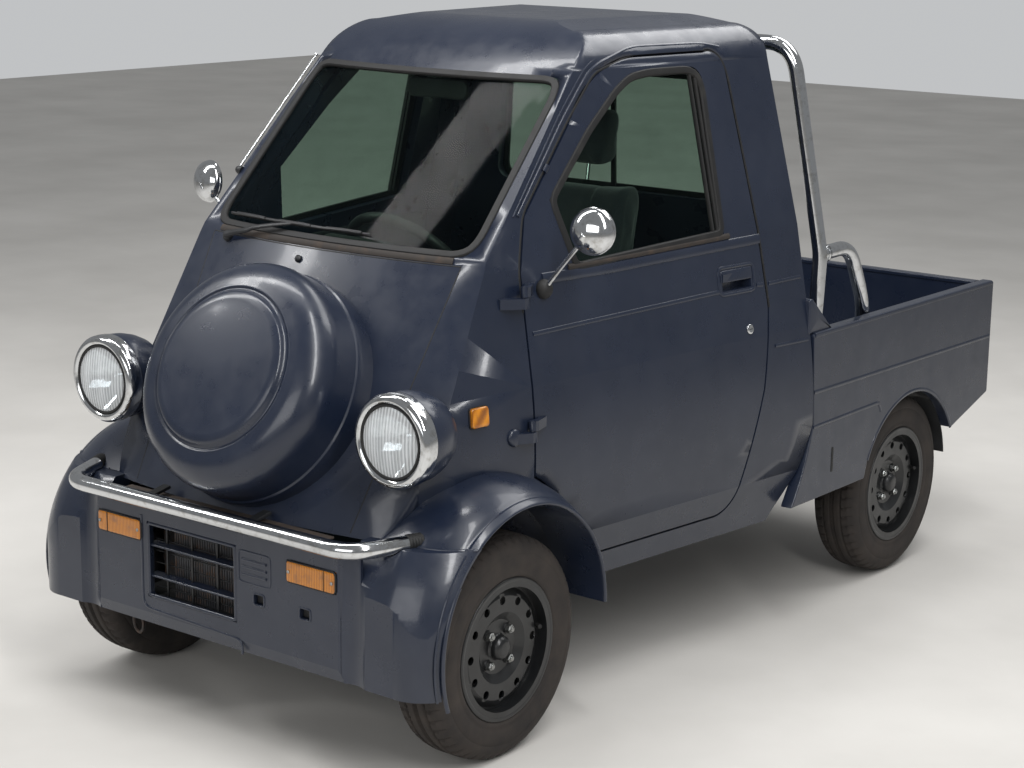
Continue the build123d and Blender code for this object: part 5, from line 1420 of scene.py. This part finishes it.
def inflate(pad, cap, room):
    """Blows a closed cover up with Blender's cloth: a fine even remesh, 20 frames of pressure 4 without
    gravity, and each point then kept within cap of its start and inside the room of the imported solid."""
    scene = bpy.context.scene
    remesh = pad.modifiers.new("Even skin", "REMESH")
    remesh.mode = "VOXEL"
    remesh.voxel_size = SKIN_VOXEL
    bpy.context.view_layer.update()
    skin = bpy.data.meshes.new_from_object(pad.evaluated_get(bpy.context.evaluated_depsgraph_get()))
    pad.modifiers.clear()
    finish = pad.data.materials[0]
    pad.data = skin
    if not skin.materials:
        skin.materials.append(finish)
    start = np.empty(len(skin.vertices) * 3)
    skin.vertices.foreach_get("co", start)
    cloth = pad.modifiers.new("Stuffing", "CLOTH")
    cloth.settings.use_pressure = True
    cloth.settings.uniform_pressure_force = STUFFING_PRESSURE
    cloth.settings.effector_weights.gravity = 0.0
    cloth.settings.tension_stiffness = cloth.settings.compression_stiffness = CLOTH_STIFFNESS
    for number in range(1, CLOTH_FRAMES + 1):
        scene.frame_set(number)
    blown = bpy.data.meshes.new_from_object(pad.evaluated_get(bpy.context.evaluated_depsgraph_get()))
    moved = np.empty(len(blown.vertices) * 3)
    blown.vertices.foreach_get("co", moved)
    pad.modifiers.clear()
    scene.frame_set(1)
    shift = (moved - start).reshape(-1, 3)
    length = np.linalg.norm(shift, axis=1, keepdims=True)
    place = start.reshape(-1, 3) + shift * np.minimum(1.0, cap / np.maximum(length, 1e-9))
    low, high = (np.array(corner) for corner in room)
    skin.vertices.foreach_set("co", np.clip(place, low, high).ravel())
    skin.update()
    skin.shade_smooth()
    bpy.data.meshes.remove(blown)


class TRUCK_OT_cab_fittings(bpy.types.Operator):
    """Hand wheel, column shroud, instruments, knobs, vents, lever, pedals, mat, visors and inner mirror"""

    bl_idname = "truck.cab_fittings"
    bl_label = "Cab Fittings"

    def execute(self, context):
        slope = math.radians(38.0)
        axis = np.array((0.0, math.cos(slope), math.sin(slope)))
        above = np.array((0.0, -math.sin(slope), math.cos(slope)))
        hub = np.array((-40.0, 380.0, 1000.0))
        across = np.array((1.0, 0.0, 0.0))

        def plane(u, v, w):
            """Slab coordinates on the hand wheel: right, up and towards the driver."""
            return hub + u[..., None] * across + v[..., None] * above + w[..., None] * axis

        def dash(u, v, w):
            """Slab coordinates (x, z, rearwards) on the dashboard's leaning face."""
            return np.stack([u, 262 + w - (v - 1036) * 0.05, v], axis=-1)

        def pedal(u, v, w):
            """Slab coordinates on a pedal's slope."""
            return np.stack([u, w - (v - 430) * 0.5, v], axis=-1)

        def visor(u, v, w):
            """Slab coordinates under the roof's front, bent by (u / 40)^2."""
            return np.stack([u, 500 + v * 0.9 + (u / 40) ** 2 * 0.15, 1548 + v * 0.16 + w], axis=-1)

        def grips(angle, radius, distance):
            """Swells the rim's inner side 24 times round: r - 1.2 (1 + cos 24 a) where it faces the hub."""
            return radius - np.where(radius < 175, 1.2 * (1 + np.cos(24 * angle)), 0), distance

        rim = revolved(np.vstack([circle(13.0, 18) + (175, 0), [(188, 0)]]), hub + axis * 28, axis, 192,
                       grips)
        spoke = rounded([(-166, -13), (-40, -20), (40, -20), (166, -13), (166, 11), (60, 20), (-60, 20),
                         (-166, 11)], 8.0, True)
        drop = rounded([(-20, -164), (20, -164), (30, -10), (-30, -10)], 8.0, True)
        boss = turned([(0, -16), (34, -16), (58, 22), (60, 34), (52, 42), (0, 46)], 8.0, hub, axis, 48)
        arms = [slab(spoke, 18, 30, plane, 4.0, 3), slab(drop, 18, 30, plane, 4.0, 3)]
        wheel = "steering_wheel"
        add_piece("hand_wheel", "black moulded plastic", [rim, boss, *arms], (wheel,), wheel)
        push = turned([(0, 44), (30, 44), (34, 47), (28, 50), (0, 51)], 2.0, hub, axis, 40)
        add_piece("horn_push", "grey moulded plastic", [push], body=wheel)
        shroud = rounded([(-38, -36), (38, -36), (34, 30), (-34, 30)], 14.0, closed=True)
        place = hub - axis * np.linspace(34, 200, 14)[:, None]
        cover = swept(place, shroud, above, size=np.linspace(0.8, 1.25, 14))
        stalks = [tube(hub - axis * 70 + np.linspace(0, 1, 8)[:, None] * np.array((sign * 150.0, 0, 24.0)),
                       5, 12, UP, size=np.linspace(0.9, 1.5, 8)) for sign in (-1, 1)]
        add_piece("column_shroud", "black moulded plastic", [cover, *stalks])
        hood = rounded([(70, 1068), (228, 1080), (226, 1104), (214, 1118), (120, 1096)], 12.0, closed=True)
        binnacle = slab(hood, -150, 70, facing_side, 14.0)
        add_piece("instrument_hood", "black moulded plastic", [binnacle])
        cluster = slab(rectangle(-138, 952, 58, 1044, 16.0), -12, 4, dash, 4.0)
        panel = slab(rectangle(120, 930, 300, 1036, 10.0), -20, 3, dash, 3.0)
        dials = [turned([(0, 0), (34, 0), (36, 3), (31, 4), (0, 3)], 1.0, (x, 265, 1000), (0, 1, 0.05), 48)
                 for x in (-90, 10)]
        add_piece("instrument_panel", "black moulded plastic", [cluster, panel])
        add_piece("instrument_rings", "chromium plate", dials)
        knobs = [turned([(0, 0), (11, 0), (10, 12), (7, 14), (0, 14)], 2.0, (x, 262, z), REAR, 24)
                 for x, z in ((150, 1010), (190, 1010), (230, 1010), (270, 1010), (150, 955))]
        add_piece("dash_knobs", "grey moulded plastic", knobs)
        vents = [swept([(x, 258, z), (x + 70, 258, z)], rectangle(-1, -6, 1, 6, 0.6), (0, 0.8, 0.6))
                 for x in (-330, 330 - 70) for z in (1010, 1020, 1030)]
        add_piece("dash_vents", "black moulded plastic", vents)
        lever = tube(spaced(rounded([(250, 700, 340), (252, 690, 520), (244, 640, 640)], 60.0), 12), 7.0, 14,
                     LEFT)
        knob = turned([(0, -18), (16, -12), (20, 4), (14, 18), (0, 20)], 8.0, (244, 636, 650), (0, -0.3, 1),
                      28)
        gaiter = turned([(52, 0), (46, 14), (40, 10), (34, 34), (28, 30), (20, 60), (10, 76), (0, 78),
                         (0, 0)], 4.0, (250, 700, 340), UP, 32)
        add_piece("gear_lever", "chromium plate", [lever])
        add_piece("gear_knob", "black moulded plastic", [knob, gaiter])
        pads, arms = [], []
        for x in (-150.0, -60.0, 30.0):
            pads.append(slab(rectangle(x - 22, 430, x + 22, 478, 6.0), 300, 310, pedal, 3.0))
            arms.append(tube([(x, 292, 470), (x, 240, 620), (x, 222, 800)], 6, 10, LEFT))
        add_piece("pedals", "black rubber", pads)
        add_piece("pedal_arms", "black chassis paint", arms)
        x, y = np.meshgrid(np.linspace(-400, 400, 120), np.linspace(300, 545, 40), indexing="ij")
        ribs = 344 + 1.6 * np.cos(2 * np.pi * x / 14)
        top = np.stack([x, y, ribs], axis=-1)
        add_piece("floor_mat", "black rubber",
                  [closed_sheet(np.concatenate([top, top[::-1] * (1, 1, 0) + (0, 0, 340.5)]))])
        visors = [slab(rectangle(x - 150, 0, x + 150, 120, 24.0), -8, 8, visor, 7.0) for x in (-190.0, 190.0)]
        add_piece("sun_visors", "grey moulded plastic", visors)
        glass = slab(rectangle(-95, 1440, 95, 1490, 20.0), 452, 466, facing_front, 5.0)
        stem = tube([(0, 459, 1486), (0, 458, 1530)], 5, 10, LEFT)
        add_piece("inner_mirror", "black moulded plastic", [glass, stem])
        return {"FINISHED"}


class TRUCK_OT_underbody(bpy.types.Operator):
    """Helper leaves, clips, front coils, engine ribs and sump, tank straps, the drive shaft and axle bolts"""

    bl_idname = "truck.underbody"
    bl_label = "Underbody"

    def execute(self, context):
        leaf = np.linspace(0, 1, 24)
        leaves = []
        for number, half in enumerate((300.0, 220.0, 140.0)):
            y = WHEELBASE + half * (2 * leaf - 1)
            z = 296 - 7.0 * number + 90 * ((y - WHEELBASE) / 420) ** 2
            leaves.append(swept(np.stack([0 * y + 400, y, z], 1), rectangle(-24, -3, 24, 3, 1.0), UP))
        add_both("helper_leaves", "spring steel", *leaves)
        clips = [tube(rounded([(374, y, 262), (374, y, 330), (426, y, 330), (426, y, 262)], 6.0), 4.5, 10,
                      REAR) for y in (1808.0, 1872.0)]
        add_both("spring_clips", "zinc plated steel", *clips)
        coil = np.linspace(0, 6.5 * 2 * np.pi, 240)
        foot, head = np.array((446.0, 0, 400.0)), np.array((436.0, 0, 545.0))
        centre = foot + (head - foot) * (coil / coil[-1])[:, None]
        spring = centre + 38 * np.stack([np.cos(coil), np.sin(coil), 0 * coil], axis=1)
        spring = tube(spring, 5.5, 10, UP)
        add_pair("front_coil", "spring steel", "knuckle", spring)
        ribs = [bead([(-203, y, 240), (-203, y, 460)], 12, 8, RIGHT) for y in np.linspace(1360, 1620, 7)]
        sump = slab(rectangle(-150, 1370, 150, 1610, 30.0), 196, 220, facing_up, 10.0)
        add_piece("engine_ribs", "cast iron", both_sides(*ribs) + [sump])
        straps = [swept(rounded([(-229, y, 236), (-229, y, 165), (229, y, 165), (229, y, 236)], 12.0),
                        rectangle(-14, -1.5, 14, 1.5, 0.8), REAR) for y in (830.0, 1050.0)]
        add_piece("tank_straps", "zinc plated steel", straps)
        shaft = tube([(0, 1640, 300), (0, 1752, 270)], 24, 20, LEFT)
        add_piece("drive_shaft", "cast iron", [shaft])
        turn = np.radians(np.arange(0, 360, 45))
        places = [(78 * math.cos(a), WHEELBASE + 22, AXLE_Z + 78 * math.sin(a)) for a in turn]
        bolts = bolt_heads(places, REAR, 7.0, 5.0)
        add_piece("axle_bolts", "zinc plated steel", bolts)
        return {"FINISHED"}


OPERATORS = (TRUCK_OT_finishes, TRUCK_OT_stage, TRUCK_OT_headlamps, TRUCK_OT_bumper, TRUCK_OT_grille,
             TRUCK_OT_spare_cover, TRUCK_OT_nose_trim, TRUCK_OT_wiper, TRUCK_OT_door_trim, TRUCK_OT_cab_trim,
             TRUCK_OT_mirrors, TRUCK_OT_tyres, TRUCK_OT_wheels, TRUCK_OT_wings, TRUCK_OT_bed,
             TRUCK_OT_tailgate, TRUCK_OT_roll_bar, TRUCK_OT_seat, TRUCK_OT_cab_fittings, TRUCK_OT_underbody)


class TRUCK_PT_dressing(bpy.types.Panel):
    """Lists the truck's sizes, colours and pieces"""

    bl_idname = "TRUCK_PT_dressing"
    bl_label = "Truck"
    bl_space_type = "VIEW_3D"
    bl_region_type = "UI"
    bl_category = "Truck"

    def draw(self, context):
        layout = self.layout
        for group in (context.scene.truck_colours, context.scene.truck_sizes):
            for name in group.bl_rna.properties.keys():
                if name not in ("rna_type", "name"):
                    layout.prop(group, name)
        for operator in OPERATORS:
            layout.operator(operator.bl_idname)


CLASSES = (TruckColours, TruckSizes, *OPERATORS, TRUCK_PT_dressing)


def register():
    """Adds the classes and the scene's settings."""
    for item in CLASSES:
        bpy.utils.register_class(item)
    bpy.types.Scene.truck_colours = PointerProperty(type=TruckColours)
    bpy.types.Scene.truck_sizes = PointerProperty(type=TruckSizes)


def unregister():
    """Takes them away again."""
    del bpy.types.Scene.truck_sizes
    del bpy.types.Scene.truck_colours
    for item in reversed(CLASSES):
        bpy.utils.unregister_class(item)


def main():
    """Makes every piece in order."""
    register()
    for operator in OPERATORS:
        group, name = operator.bl_idname.split(".")
        getattr(getattr(bpy.ops, group), name)()


if __name__ == "__main__":
    main()
